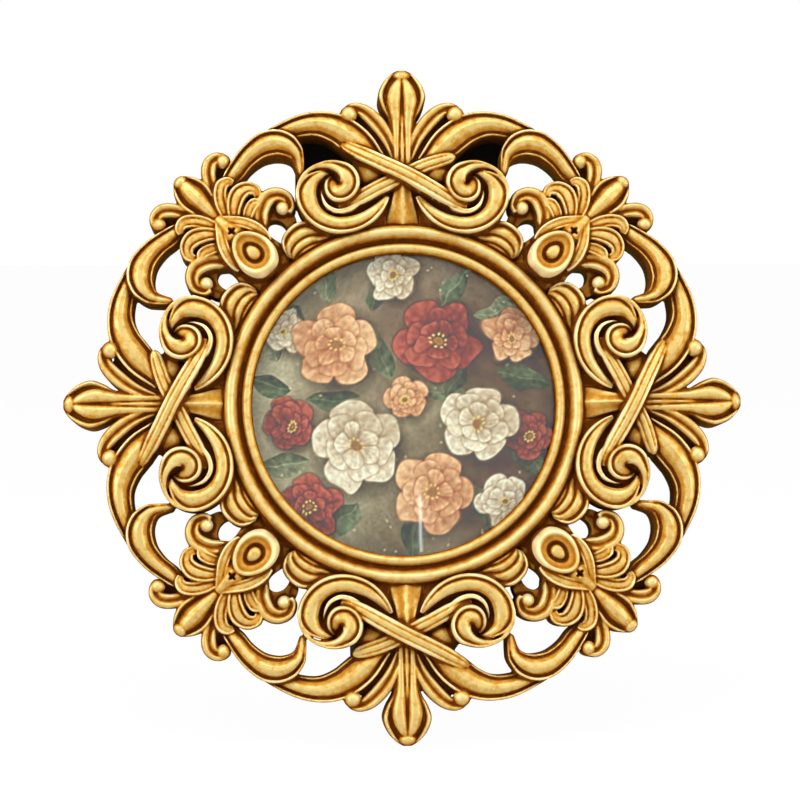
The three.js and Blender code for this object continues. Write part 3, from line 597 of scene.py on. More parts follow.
CREST_CURL = [
    [1.2, 17, 2.2, 12.5], [2.8, 22, 3.2, 13.2], [4.9, 27, 4.4, 13.8], [8, 31.5, 5.2, 14],
    [11.5, 34.9, 4.8, 14], [14.6, 36.4, 3.8, 13.8], [17, 36, 3.2, 13.6], [18.2, 34.4, 3, 13.4],
]
FINIAL_KNOB = [0, 46.9, 11.3, 2.9, 2, 2.7]  # balls: x, y, z and three radii
CREST_BALLS = {
    "curl end": [17.2, 34.2, 12.4, 2.8, 2.7, 3],
    "under the bulb": [20.4, 10.2, 9.5, 7.4, 7.4, 3.2],
    "under the ribbons": [10.5, 15.4, 9.5, 5.2, 4.8, 4.7],
}
WEB_Z = 9  # top of the thin floors that tie the forms together
CREST_TRIANGLES = 180000
print("stations of a volute and its bulb:", len(VOLUTE), len(BULB))

# %% [markdown]
# Nearly every form stands on both sides of the crest, so its rail serves twice, the second time flipped. Of
# the two ribbons only the lower one is flipped, so they cross.

# %% Crest
def mirrored(half):
    """The full outline whose right half is given."""
    return half + [[-x, y] for x, y in half[::-1]]


def paired(rails, balls):
    """Bands along rails of (chain, section), and balls, each on both sides of the middle line."""
    forms = [band(chain, label) for chain, label in rails]
    forms += [band(flipped(chain), label) for chain, label in rails]
    return forms + [ball(side * x, *rest) for side in (-1, 1) for x, *rest in balls.values()]


crest_rails = [
    (through(UPPER_SCROLL), "scroll"), (through(LOWER_SCROLL), "scroll"), (coiled(VOLUTE, EYE), "volute"),
    (coiled(BULB, BULB_EYE), "volute"), (through(FINIAL_LOBE), "dome"), (through(RING_LEAF), "ridged leaf"),
    (strap(CREST_CURL), "rolled"), (strap(RIDGE), "rolled"),
]
crest_forms = paired(crest_rails, CREST_BALLS) + [
    band(centred(FINIAL), "spoon"), band(centred(FINIAL_STRIP), "dome"), band(centred(BELL), "kite"),
    band(strap(RIBBON), "strands"), band(flipped(strap(LOWER_RIBBON)), "strands"), ball(*FINIAL_KNOB),
    slab(mirrored(CREST_FLOOR), WEB_Z + 1), slab(mirrored(FAN_FLOOR), WEB_Z + 0.5),
]
crest_skin, crest_dust = cast("crest", crest_forms, CREST_TRIANGLES)
print("crest:", len(crest_skin.polygons), "faces")

# %% [markdown]
# ## The corner spray
# Between two crests a trumpet flower lies on the ring with its bud leaf pointing outwards. Petals, curls and
# hooks lie on both sides of it. The petals are bands like the scrolls, and only the flower is a stack of
# ovals.

# %% Spray paths
FLOWER = [
    [7.4, 5.4, 7.4, 0], [8, 5.9, 7.6, 8], [8.3, 6.3, 8, 13], [8.2, 6.4, 8.3, 15.4], [7.8, 6.3, 8.6, 17],
    [7.3, 5.9, 8.8, 18], [6.8, 5.4, 8.9, 18.3], [6.3, 5, 8.9, 18], [5.7, 4.5, 8.9, 17.4],
    [4.9, 3.8, 8.8, 17], [4.2, 3.2, 8.7, 16.6], [3.7, 2.8, 8.7, 15.8], [3.3, 2.5, 8.7, 15],
    [3, 2.25, 8.7, 15.1], [2.6, 2, 8.7, 16.1], [1.9, 1.5, 8.7, 16.9], [1, 0.8, 8.7, 17.2],
    [0.1, 0.1, 8.7, 17.3],
]
CALYX = [[3.4, 14.6, 16.4], [3.5, 16.6, 17.4], [3, 18.8, 17.2], [2.3, 21.2, 16.2], [1.6, 25, 14.6]]
SEPAL = [
    [0.8, 24, 1.6, 14.8], [2.5, 21, 3, 16.2], [4.8, 17.4, 3.8, 17], [6.4, 13.6, 3.6, 17],
    [7, 10.4, 2.6, 16.2], [6.9, 8, 1.4, 15],
]
BUD = [
    [2.4, 23, 13.5], [3.2, 26, 13.8], [4.6, 30, 14.3], [5.6, 34.5, 14.5], [5.4, 37.5, 14.2],
    [4.2, 40.3, 13.6], [1.6, 43.2, 12.2],
]
SLIM_PETAL = [
    [2.2, 21.5, 2.8, 14.5], [3.4, 25.6, 4, 15], [5.6, 29.1, 4.6, 15], [8.4, 31.3, 4.4, 14.8],
    [10.8, 30.9, 3.4, 14.2], [11.6, 29.4, 2.2, 13.4],
]
BROAD_PETAL = [
    [3, 20, 3, 15], [6, 23.3, 5, 15.8], [9.8, 25.5, 5.8, 15.8], [13.2, 25.2, 5, 15.2], [15, 23, 3.8, 14.6],
    [14.4, 21, 2.6, 14],
]
LOW_PETAL = [[5.4, 17.2, 2.6, 14.6], [8.6, 19.2, 4, 15], [11.4, 20, 3.8, 14.8], [13, 19, 2.6, 14.2]]
BUD_CURL = [
    [2.5, 25, 2.5, 12.5], [5.2, 31.6, 3.8, 13], [7.6, 36.4, 4.6, 13.6], [10.4, 39, 4.8, 13.8],
    [13.2, 39.3, 4.2, 13.6], [15.2, 37.8, 3.2, 13.2], [15.4, 36.4, 2.4, 12.8],
]
HOOK = [
    [4.5, 10, 3.2, 13], [8, 13.4, 4.4, 13.8], [11.4, 16.8, 5.2, 14.2], [15.6, 18.4, 5.4, 14.2],
    [19, 17.2, 4.8, 13.8], [20.6, 14.2, 4, 13.4], [19.6, 11.4, 3.2, 13.2], [17.6, 10.8, 2.4, 13],
]
SPRAY_FLOOR = [
    [5, -3], [9.5, 2.5], [9, 6], [8.5, 9], [9, 11.6], [11, 12.9], [13, 12.2], [14.2, 10], [14, 7.4],
    [13, 5.5], [17, 6], [19, 10], [18.5, 15], [15, 20], [13, 25], [13, 31], [15, 35.5], [13, 39], [8, 38],
    [5, 36],
]
BUD_KNOB = [0, 41.6, 11.8, 2.4, 1.9, 2.4]
SPRAY_BALLS = {"bud curl end": [14.6, 36.9, 11, 2.4, 2.4, 2.9], "hook end": [17.4, 12.7, 11, 2.3, 2.3, 2.9]}
SPRAY_TRIANGLES = 100000
print("ovals of the flower:", len(FLOWER))

# %% [markdown]
# The spray is built like the crest. Its floor's outline is smoothed before it becomes a slab, because the
# edge shows in the openings.

# %% Spray
spray_rails = [
    (strap(SLIM_PETAL), "petal"), (strap(BROAD_PETAL), "petal"), (strap(LOW_PETAL), "petal"),
    (strap(SEPAL), "petal"), (strap(BUD_CURL), "rolled"), (strap(HOOK), "rolled"),
]
spray_forms = paired(spray_rails, SPRAY_BALLS) + [
    ovals(FLOWER), band(centred(CALYX), "dome"), band(centred(BUD), "seed leaf"), ball(*BUD_KNOB),
    slab(through(mirrored(SPRAY_FLOOR), 4).tolist(), WEB_Z),
]
spray_skin, spray_dust = cast("spray", spray_forms, SPRAY_TRIANGLES)
print("spray:", len(spray_skin.polygons), "faces")

# %% [markdown]
# A four-pointed star is pressed into the calyx behind the flower. It is too small for the voxels, so the
# points inside its outline are simply moved down.

# %% Star pit
STAR_Y, STAR_R, STAR_DEPTH = 18.2, 1.6, 2.5
STAR_FLAT = 0.286  # share of the way to its edge that is the flat bottom


def share_between(value, start, end):
    """0 up to the start, 1 from the end on."""
    return np.clip((value - start) / (end - start), 0, 1)


spray_points = points_of(spray_skin)
across, along = spray_points[:, 0], spray_points[:, 1] - RING_R - STAR_Y
turn = np.arctan2(across, along)
outline = STAR_R * (0.55 + 0.45 * np.cos(2 * turn) ** 2)
inside = share_between(np.hypot(across, along) / outline, 1, STAR_FLAT)
raised = share_between(spray_points[:, 2], WEB_Z, WEB_Z + 2)
spray_points[:, 2] -= STAR_DEPTH * inside * (2 - inside) * raised
put_points(spray_skin, spray_points)
print("points in the star pit:", np.count_nonzero(inside * raised))

# %% [markdown]
# ## The moulded ring
# The ring was turned: one profile goes round a circle, so Curve to Mesh makes it. From the sight opening
# outwards the profile climbs over an inner bead, drops into a groove, climbs the large bead and falls to the
# outer edge. Behind it is the step that takes the glass and the board. Lathe tools such as Spin would serve
# as well; the tree keeps the number of steps as an input.

# %% Ring
RING_PROFILE = [
    [51.3, 0], [51.3, 7.8], [48.5, 7.8], [48.5, 9.3], [48.62, 10.1], [49.0, 10.9], [49.6, 11.45],
    [50.25, 11.6], [50.9, 11.4], [51.4, 10.8], [51.75, 9.9], [52.1, 9.3], [52.5, 9.2], [52.85, 9.6],
    [53.15, 10.7], [53.6, 12.1], [54.3, 13.2], [55.1, 13.75], [55.9, 13.6], [56.7, 12.8], [57.3, 11.6],
    [57.8, 10.2], [58.3, 9.2], [58.8, 8.7], [59, 8.2], [59, 0],
]
RING_STEPS = 720


def turned_ring_tree():
    """Carries a profile round a circle."""
    tree, given = new_tree("turned ring", Steps="Int", Finish="Material")
    profile = add(tree, "GeometryNodeMeshToCurve", {"Mesh": given["Geometry"]})
    circle = add(tree, "GeometryNodeCurvePrimitiveCircle", {"Resolution": given["Steps"], "Radius": 1.0})
    skin = add(tree, "GeometryNodeCurveToMesh", {"Curve": circle, "Profile Curve": profile})
    return end_tree(tree, skin, given["Finish"])


n = len(RING_PROFILE)
ring = flat_object("ring", [(r - 1, -z, 0) for r, z in RING_PROFILE], [(i, (i + 1) % n) for i in range(n)])
ring_skin = grown(ring, turned_ring_tree(), Steps=RING_STEPS, Finish=gilt)
print("ring:", len(ring_skin.polygons), "faces", np.ptp(points_of(ring_skin), axis=0).round(2))

# %% [markdown]
# ## Where the wash and the painted shade lie
# Antique gold is painted in two steps. A brown wash goes over everything and is wiped off, so that it stays
# in the hollows; then bright gold is rubbed over what stands proud. Here the same numbers also paint shade
# into the hollows and highlights onto what stands proud. So each point needs one number: how far it lies
# below its surroundings. Ambient occlusion would give something like it, but only at render time. Here the
# whole front is laid on a grid of heights, the grid is blurred, and the blurred height less the point's own
# height is that number, once for fine grooves and twice for broader hollows. Each point is laid on the grid
# four times, a little to each side, so that no cell is missed, and open cells don't count in the blur.

# %% Heights of the whole front
CELL = 0.35  # of the grid, mm
REACH = 113.0  # from the middle to the grid's edge
NUDGE = 0.12  # to each side
FINE_MM, MIDDLE_MM, BROAD_MM = 0.42, 1.3, 2.6  # spreads of the blur


def cells(cloud):
    """The grid cell under each point."""
    return tuple(((cloud[:, axis] + REACH) / CELL).astype(int) for axis in (1, 0))


def blurred(grid, spread_mm):
    """A grid smeared by a soft round brush."""
    f0, f1 = np.fft.fftfreq(grid.shape[0])[:, None], np.fft.rfftfreq(grid.shape[1])[None, :]
    soft = np.exp(-2 * (math.pi * spread_mm / CELL) ** 2 * (f0**2 + f1**2))
    return np.fft.irfft2(np.fft.rfft2(grid) * soft, grid.shape)


def turned_about(cloud, degrees):
    """Points turned about the middle of the face."""
    c, s = math.cos(math.radians(degrees)), math.sin(math.radians(degrees))
    return cloud @ np.array([[c, s, 0], [-s, c, 0], [0, 0, 1]])


def read(grid, cloud):
    """The grid's value at each point, blended from the four nearest cells."""
    spot = (cloud[:, 1::-1] + REACH) / CELL - 0.5
    near = spot.astype(int)
    (row, column), (down, right) = near.T, (spot - near).T
    upper = grid[row, column] * (1 - right) + grid[row, column + 1] * right
    lower = grid[row + 1, column] * (1 - right) + grid[row + 1, column + 1] * right
    return upper * (1 - down) + lower * down


CRESTS = {"crest_top": 0, "crest_left": 90, "crest_bottom": 180, "crest_right": 270}
SPRAYS = {"spray_ne": -45, "spray_nw": 45, "spray_sw": 135, "spray_se": 225}
radius, rise = through(RING_PROFILE[3:-1], 4).T
around = np.linspace(0, 2 * math.pi, 1800)[:, None]
ring_dust = np.dstack([radius * np.cos(around), radius * np.sin(around), rise + 0 * around]).reshape(-1, 3)
skins = [("frame_ring", ring_skin, ring_dust, 0)]
skins += [(name, crest_skin, crest_dust, angle) for name, angle in CRESTS.items()]
skins += [(name, spray_skin, spray_dust, angle) for name, angle in SPRAYS.items()]
heights = np.zeros((int(2 * REACH / CELL),) * 2)
for name, skin, dust, angle in skins:
    dust = turned_about(dust, angle)
    for dx, dy in ((1, 1), (1, -1), (-1, 1), (-1, -1)):
        np.maximum.at(heights, cells(dust + [dx * NUDGE, dy * NUDGE, 0]), dust[:, 2])
cast_here = np.where(heights > 0, 1.0, 0.0)
blurred_heights = [
    blurred(heights, spread) / np.maximum(blurred(cast_here, spread), 0.01)
    for spread in (FINE_MM, MIDDLE_MM, BROAD_MM)
]
print("highest point of the front, mm:", round(heights.max(), 2))

# %% [markdown]
# ## The casting
# Each crest and spray is a copy of its one master skin, turned to its place. The ring's plain mouldings take
# less wash and painted shade than the carving. The low floors take brown wash and painted shade, more on the
# sprays than on the crests. The upright walls of the openings take painted shade, over the olive undercoat
# low down. The numbers go on face corners and not on points, so a wall can be dark right up to its edge. The
# lowest finial is cut flat where it stands.

# %% Casting pieces
def numbers(items, field, kind=np.float32, width=1):
    """One field of many mesh parts as an array."""
    values = np.empty(len(items) * width, kind)
    items.foreach_get(field, values)
    return values.reshape(-1, width) if width > 1 else values


GROOVE_MM = 0.381  # a point this far below its near surroundings takes the full wash
HOLLOW_SHADE_MIDDLE, HOLLOW_SHADE_BROAD = 0.267, 0.067  # painted shade for each mm below the wider surroundings
HOLLOW_SHADE_LIMITS = (-1, 0.3)
# A little wash everywhere, less wash and painted shade on the ring, and painted shade on the walls of the
# openings
BASE_WASH, RING_WIPE, WALL_SHADE = 0.05, 0.18, 0.72
# Brown wash and painted shade on the low floors, none on the ring
FLOOR_WASH_AND_SHADE = {"frame_ring": 0} | dict.fromkeys(CRESTS, 0.35) | dict.fromkeys(SPRAYS, 0.6)
FLOOR_Z = (11.3, 9.8)  # where the wash and painted shade of the floors start, going down, and where they are full
WALL_SLOPE = (0.45, 0.15)  # upward part of the normal of a face that starts to be a wall, and of a full wall
RING_WALL_TOP, WALL_TOP, WALL_Z = 9.5, 13.5, 3  # a wall's painted shade is full this far below its top
# where the olive undercoat with painted shade starts on a wall, going down, and where it is full
UNDERCOAT_SHADE_Z = (12, 8)
RUB_HIGHLIGHT_Z = (10.3, 11.5)  # the rubbed gold and its painted highlight reach no lower
RUB_HIGHLIGHT_FINE_MM, RUB_HIGHLIGHT_MIDDLE_MM = (0.065, 0.325), (0.35, 1.75)  # how proud a point starts and ends to take rubbed gold and painted highlight
RUB_HIGHLIGHT_MOST = 0.65


def piece(name, mesh, body, nodes, place=face_place):
    """Stands a mesh drawn in mm on its body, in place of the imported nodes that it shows."""
    mesh.transform(place)
    made = bpy.data.objects.new(name, mesh)
    bpy.context.scene.collection.objects.link(made)
    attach(made, body)
    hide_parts(*nodes)
    return made


for name, skin, dust, angle in skins:
    mesh = skin.copy()
    cloud = turned_about(points_of(mesh), angle)
    put_points(mesh, cloud)
    z = cloud[:, 2]
    fine, middle, broad = (read(grid, cloud) - z for grid in blurred_heights)
    on_ring = name == "frame_ring"
    hollow_shade = np.clip(HOLLOW_SHADE_MIDDLE * middle + HOLLOW_SHADE_BROAD * broad, *HOLLOW_SHADE_LIMITS)
    # Brown wash in the fine grooves, painted shade in the broader hollows, less of both on the ring
    groove_and_shade = fine / GROOVE_MM + hollow_shade + BASE_WASH - RING_WIPE * on_ring
    # Brown wash and painted shade on the low floors
    groove_and_shade = np.maximum(groove_and_shade, FLOOR_WASH_AND_SHADE[name] * share_between(z, *FLOOR_Z))
    # Rubbed gold and painted highlight on what stands proud, never low down
    proud = np.maximum(share_between(-fine, *RUB_HIGHLIGHT_FINE_MM), share_between(-middle, *RUB_HIGHLIGHT_MIDDLE_MM))
    proud = np.minimum(proud, RUB_HIGHLIGHT_MOST) * share_between(z, *RUB_HIGHLIGHT_Z)
    corner = numbers(mesh.loops, "vertex_index", np.int32)
    face = np.repeat(np.arange(len(mesh.polygons)), numbers(mesh.polygons, "loop_total", np.int32))
    slope = numbers(mesh.polygon_normals, "vector", width=3)[face, 2]
    wall_top = RING_WALL_TOP if on_ring else WALL_TOP
    # Painted shade on the walls of the openings, fullest low down
    wall = share_between(slope, *WALL_SLOPE) * share_between(z[corner], wall_top, wall_top - WALL_Z)
    store(mesh, "wash_and_shade", np.clip(np.maximum(groove_and_shade[corner], WALL_SHADE * wall), 0, 1), "CORNER")
    # The olive undercoat with painted shade, low on the walls
    store(mesh, "undercoat_and_wall_shade", wall * share_between(z[corner], *UNDERCOAT_SHADE_Z), "CORNER")
    store(mesh, "rub_and_highlight", proud[corner] * (1 - wall), "CORNER")
    mesh.shade_smooth()
    mesh.materials.clear()
    mesh.materials.append(gilt)
    piece("gilt_" + name, mesh, "frame", [name])
    if name == "crest_bottom":
        stood = points_of(mesh)
        stood[:, 2] = np.maximum(stood[:, 2], 0)
        put_points(mesh, stood)
for shape in section_objects.values():
    bpy.data.objects.remove(shape)
print("casting pieces:", len(skins))

# %% [markdown]
# ## The print
# Behind the glass is a small paper print. The one here is a pattern of its own: open five-petalled
# blossoms and leaves in cream, peach and brick red on a dun ground. It is painted the way a painter works,
# ground first and front blossoms last, straight onto the points of a fine disc, so it needs no image. A
# square grid is drawn into the disc, so the paint stays equally sharp everywhere and has no pole in the
# middle.

# %% Paper disc and its ground
PRINT_R = 50.8
PRINT_BACK, PRINT_FRONT = 4.8, 5.2
PRINT_GRID = 300  # points each way, about one for each CELL, so that blurred takes mm here too
PAINT_SEED = 11
rng = np.random.default_rng(PAINT_SEED)


def brushwork(spread_mm):
    """Soft random strokes, about -1 to 1."""
    grid = blurred(rng.standard_normal((PRINT_GRID, PRINT_GRID)), spread_mm)
    return grid / grid.std() / 2


u, v = np.meshgrid(np.linspace(-1, 1, PRINT_GRID), np.linspace(-1, 1, PRINT_GRID))
x, y = PRINT_R * u * np.sqrt(1 - v**2 / 2), PRINT_R * v * np.sqrt(1 - u**2 / 2)
wander_x, wander_y = x + 1.1 * brushwork(2.5), y + 1.1 * brushwork(2.5)  # so that no outline is quite true
drift = np.clip(0.5 + x / 90 + 0.3 * brushwork(9), 0, 1)[..., None]
paint = screen("#AB9F86") * (1 - drift) + screen("#664B3B") * drift
paint = paint + 0.07 * brushwork(5)[..., None] + 0.03 * brushwork(1.2)[..., None]
print("print points:", x.size)

# %% [markdown]
# A stroke is laid by its distance from its own outline, half a millimetre soft. Leaves and blossoms are a few
# such strokes each, light where the light falls and dark towards the heart.

# %% Strokes
def lay(colour, cover):
    """One coat of paint; cover runs from 0 to 1."""
    cover = np.clip(cover, 0, 1)[..., None]
    paint[:] = paint * (1 - cover) + colour * cover


def local(at, turn):
    """Coordinates along and across a stroke that starts at a place and points some way."""
    dx, dy = wander_x - at[0], wander_y - at[1]
    c, s = math.cos(math.radians(turn)), math.sin(math.radians(turn))
    return dx * c + dy * s, dy * c - dx * s


def leaf(at, turn, length, width, dark, light):
    """A pointed leaf, one half in the light, with a pale midrib."""
    along, off = local(at, turn)
    share = np.clip(along / length, 0, 1)
    off = off + 0.12 * length * share**2
    half = width * np.sin(math.pi * share**0.8) / 2
    tone = 0.45 + 0.4 * np.tanh(2 * off / width) + 0.35 * np.exp(-((off / 0.22) ** 2))
    tone = np.clip(tone + 0.25 * brushwork(0.6), 0, 1)[..., None]
    lay(screen(dark) * (1 - tone) + screen(light) * tone, (half - np.abs(off)) / 0.5)


def blossom(at, size, turn, pale, deep):
    """Three rings of five petals round a golden heart, each ring smaller, with a soft shadow under it."""
    along, off = local((at[0] + 0.1 * size, at[1] - 0.14 * size), 0)
    lay(screen("#33291F"), 0.55 * np.clip((1.15 * size - np.hypot(along, off)) / (0.4 * size), 0, 1))
    for scale, twist, light in ((1.0, 0, 0), (0.76, 36, 0.06), (0.5, 8, 0.12)):
        along, off = local(at, turn + twist)
        far, way = np.hypot(along, off) / (size * scale), np.arctan2(off, along)
        lobe = np.abs(np.cos(2.5 * way))
        reach = 0.72 + 0.28 * lobe**0.6
        veins = 0.1 * np.sin(22 * way) * far
        tone = light + 0.9 * far**1.3 + 0.18 * np.cos(way + turn - 2.2) - 0.6 * (1 - lobe) ** 4 + veins
        tone = np.clip(tone + 0.2 * brushwork(0.7), 0, 1)[..., None]
        lay(screen(deep) * (1 - tone) + screen(pale) * tone, (reach - far) * size * scale / 0.6)
        lay(screen(deep), 0.35 * np.exp(-(((far - reach) * size * scale / 0.3) ** 2)))
    heart = np.hypot(*local(at, 0)) / size
    lay(screen("#A9782E"), (0.13 - heart) * size / 0.5)
    for k in range(9):
        spot = math.radians(turn + k * 40)
        dot = (at[0] + 0.17 * size * math.cos(spot), at[1] + 0.17 * size * math.sin(spot))
        lay(screen("#EBCB7C"), 1.3 - np.hypot(*local(dot, 0)) / 0.5)


print("a stroke covers a grid of", local((0, 0), 0)[0].shape)

# %% [markdown]
# Leaves and pale specks come before the blossoms that overlap them. At the end the whole paint is sharpened a
# little, as a printer does, because the pane softens it again.

# %% Leaves, specks and blossoms
LEAVES = [
    [(-30, 24), 150, 19, 9], [(-24, 34), 105, 16, 8], [(-10, 30), 75, 17, 8], [(12, 32), 55, 17, 8],
    [(24, 28), 20, 19, 9], [(30, 10), -5, 18, 9], [(34, -14), -30, 16, 8], [(20, -26), -50, 20, 9],
    [(2, -34), -80, 16, 8], [(-14, -30), -125, 18, 9], [(-30, -18), -165, 17, 9], [(-36, 4), 170, 15, 8],
    [(-4, 8), 115, 17, 8], [(6, 4), 5, 16, 8], [(-14, 2), -170, 18, 8], [(14, 2), 70, 15, 7],
    [(-40, 14), 120, 15, 7], [(40, 20), 60, 15, 7], [(-24, -36), -100, 14, 7], [(36, -28), -60, 14, 7],
]
SPECKS, SPECK_REACH = 90, 47
GREENS = [("#4A5240", "#98A083"), ("#566048", "#ABAA8E"), ("#3F4838", "#7F8A6C")]
for i, (at, turn, length, width) in enumerate(LEAVES):
    leaf(at, turn, length, width, *GREENS[i % len(GREENS)])
for k in range(SPECKS):
    spot = rng.uniform(-SPECK_REACH, SPECK_REACH, 2)
    lay(screen("#DCCDB0"), 0.7 * np.clip(1.3 - np.hypot(*local(spot, 0)) / 0.5, 0, 1))

SHARPEN, SHARPEN_MM = 0.9, 0.5
CREAM, PEACH, BRICK = ("#FCF0E0", "#B08F70"), ("#F7C9A0", "#B86E48"), ("#C4675A", "#63211E")
BLOSSOMS = [
    [(-37, -6), 8.5, 40, BRICK], [(35, 22), 9.5, 10, PEACH], [(-3, 42), 9, 25, CREAM],
    [(40, -10), 8.5, 60, BRICK], [(-38, 24), 7.5, 12, CREAM], [(-22, 19), 14, 15, PEACH],
    [(11, 21), 14, 50, BRICK], [(24, -6), 13, 5, CREAM], [(-15, -13), 15, 30, CREAM],
    [(9, -28), 13.5, 70, PEACH], [(-30, -33), 10.5, 20, BRICK], [(31, -31), 9, 45, CREAM],
    [(1, 2), 7.5, 33, PEACH],
]
for at, size, turn, colours in BLOSSOMS:
    blossom(at, size, turn, *colours)
paint *= 1 + 0.05 * brushwork(0.35)[..., None]
for channel in range(3):
    paint[..., channel] += SHARPEN * (paint[..., channel] - blurred(paint[..., channel], SHARPEN_MM))
print("blossoms:", len(BLOSSOMS), "leaves:", len(LEAVES))

# %% [markdown]
# The paint becomes a colour on every point, and the disc gets its thickness: a rim and a plain back. The inks
# are a little deeper and warmer than they should look, because the pane lays a pale veil over them.

# %% Print
BARE_PAPER = 0.9
INK_WARMTH, PANE_VEIL, BLACKEST_INK = np.array([1.06, 1.02, 0.93]), 0.055, 0.006
n = PRINT_GRID
ids = np.arange(n * n).reshape(n, n)
quads = np.stack([ids[:-1, :-1], ids[:-1, 1:], ids[1:, 1:], ids[1:, :-1]], axis=-1).reshape(-1, 4).tolist()
rim = np.concatenate([ids[0, :-1], ids[:-1, -1], ids[-1, :0:-1], ids[:0:-1, 0]])
back = n * n + np.arange(len(rim))
walls = np.column_stack([rim, back, np.roll(back, -1), np.roll(rim, -1)]).tolist()
front_points = np.column_stack([x.ravel(), y.ravel(), np.full(n * n, PRINT_FRONT)])
back_points = np.column_stack([front_points[rim, :2], np.full(len(rim), PRINT_BACK)])
paper_points = np.vstack([front_points, back_points]).tolist()
paper_mesh = plain_mesh("print", paper_points, quads + walls + [back[::-1].tolist()])
inks = linear(np.clip(np.vstack([paint.reshape(-1, 3), np.full((len(rim), 3), BARE_PAPER)]), 0, 1))
inks = np.clip(inks * INK_WARMTH - PANE_VEIL, BLACKEST_INK, 1)
ink = paper_mesh.color_attributes.new("ink", "FLOAT_COLOR", "POINT")
ink.data.foreach_set("color", np.column_stack([inks, np.ones(len(inks))]).astype(np.float32).ravel())

TOOTH_MM = 0.4  # hills of paper fibre, drawn coarse enough to show
paper, tree, shader = finish_tree("printed paper")  # a dull ink film with a trace of paper tooth
colour = add(tree, "ShaderNodeAttribute", attribute_name="ink").outputs["Color"]
place = add(tree, "ShaderNodeTexCoord").outputs["Object"]
tooth = add(tree, "ShaderNodeTexNoise", {"Vector": place, "Scale": cell(TOOTH_MM)})
dented = add(tree, "ShaderNodeBump", {"Height": tooth, "Strength": 0.1, "Distance": 0.0001})
feed(shader, {"Base Color": colour, "Normal": dented, "Roughness": 0.6})
paper_mesh.materials.append(paper)
piece("paper_print", paper_mesh, "frame", ["photo_print"])
print("print faces:", len(paper_mesh.polygons))

# %% [markdown]
# ## Glass and card
# The pane and the card behind the print are plain discs, right as they were packed, so they only get their
# finish. Picture glass is clear, with a faint green and a very slight bloom of dust.

# %% Glass and card finishes
FLECK_MM = 1.11  # a fleck of pulp
glass, tree, shader = finish_tree("clear picture glass")  # shows the print, and the room as a faint veil
feed(shader, {"Base Color": tint("#F4FAF7"), "Transmission Weight": 1.0, "Roughness": 0.02, "IOR": 1.45})

card, tree, shader = finish_tree("grey card")  # pulp board with darker flecks
place = add(tree, "ShaderNodeTexCoord").outputs["Object"]
fleck = add(tree, "ShaderNodeTexNoise", {"Vector": place, "Scale": cell(FLECK_MM), "Detail": 5.0})
pulp = add(tree, "ShaderNodeValToRGB", {"Fac": fleck}, [(0.3, "#9E9484"), (0.7, "#C4BAA6")])
feed(shader, {"Base Color": pulp, "Roughness": 0.9})
for node, material in (("glass_pane", glass), ("filler_card", card)):
    frame["nodes"][node].data.materials.clear()
    frame["nodes"][node].data.materials.append(material)
    print(node, "shows", material.name)

# %% [markdown]
# ## Boards behind
# A back board closes the ring, a strut plate behind the top crest carries the hinge and the hanger, and the
# leg swings from the hinge. All three are hardboard sprayed with black flock, a short velvet pile that drinks
# the light and shows a soft edge. Each is one outline between two heights. A Bevel modifier rounds its edges
# over, which is quicker and more even than drawing the rounding.

# %% Black flock and the boards
PILE_MM = 0.385  # tufts of flock, drawn coarse enough to show
BOARD_EDGE = 0.4  # rounding
flock, tree, shader = finish_tree("black flock")
place = add(tree, "ShaderNodeTexCoord").outputs["Object"]
pile = add(tree, "ShaderNodeTexNoise", {"Vector": place, "Scale": cell(PILE_MM), "Detail": 2.0})
nap = add(tree, "ShaderNodeValToRGB", {"Fac": pile}, [(0.3, "#0B0B0C"), (0.7, "#1D1C1D")])
fuzz = add(tree, "ShaderNodeBump", {"Height": pile, "Strength": 0.5, "Distance": 0.0003})
feed(shader, {"Base Color": nap, "Normal": fuzz, "Roughness": 0.95})
feed(shader, {"Sheen Weight": 0.25, "Sheen Roughness": 0.4})  # the soft edge


def rounded(made, edge, material):
    """The object's mesh with its sharp edges rounded over and a material on it."""
    made.data.shade_smooth()
    made.data.materials.append(material)
    ease = made.modifiers.new("rounded edges", "BEVEL")
    ease.width = edge
    ease.segments = 3
    ease.limit_method = "ANGLE"
    ease.harden_normals = True
    return evaluated(made)


def board(outline, back, front, edge, material):
    """A flat plate between two heights."""
    points, faces = stacked([[(x, y, z) for x, y in outline] for z in (back, front)])
    return rounded(flat_object("board", points, [], faces), edge, material)


def arc(x, y, radius, start, end, steps=12):
    """Points on a circle between two angles in degrees."""
    turns = np.radians(np.linspace(start, end, steps))
    return [(x + radius * math.cos(a), y + radius * math.sin(a)) for a in turns]


BOARD_R, BOARD_FRONT = 51.0, 3.0
PLATE_HALF, PLATE_LOW, PLATE_TOP, PLATE_CORNER = 34.5, 64.6, 91.5, 5.0
PLATE_BACK, PLATE_FRONT = -3.3, -0.3
back_disc = board(arc(0, 0, BOARD_R, 0, 360, 145)[:-1], 0, BOARD_FRONT, BOARD_EDGE, flock)
plate_corner = arc(PLATE_HALF - PLATE_CORNER, PLATE_TOP - PLATE_CORNER, PLATE_CORNER, 0, 90)
plate_outline = mirrored([(PLATE_HALF, PLATE_LOW)] + plate_corner)
plate = board(plate_outline, PLATE_BACK, PLATE_FRONT, BOARD_EDGE, flock)
piece("flocked_back_board", back_disc, "frame", ["back_board"])
piece("flocked_strut_plate", plate, "frame", ["strut_plate"])
print("board faces:", len(back_disc.polygons), len(plate.polygons))

# %% [markdown]
# The leg is drawn hanging straight down from the hinge, swung back to its stop, and sawn off level where it
# meets the table. A maker saws it there too, because a slanted foot is hard to reckon and easy to mark.

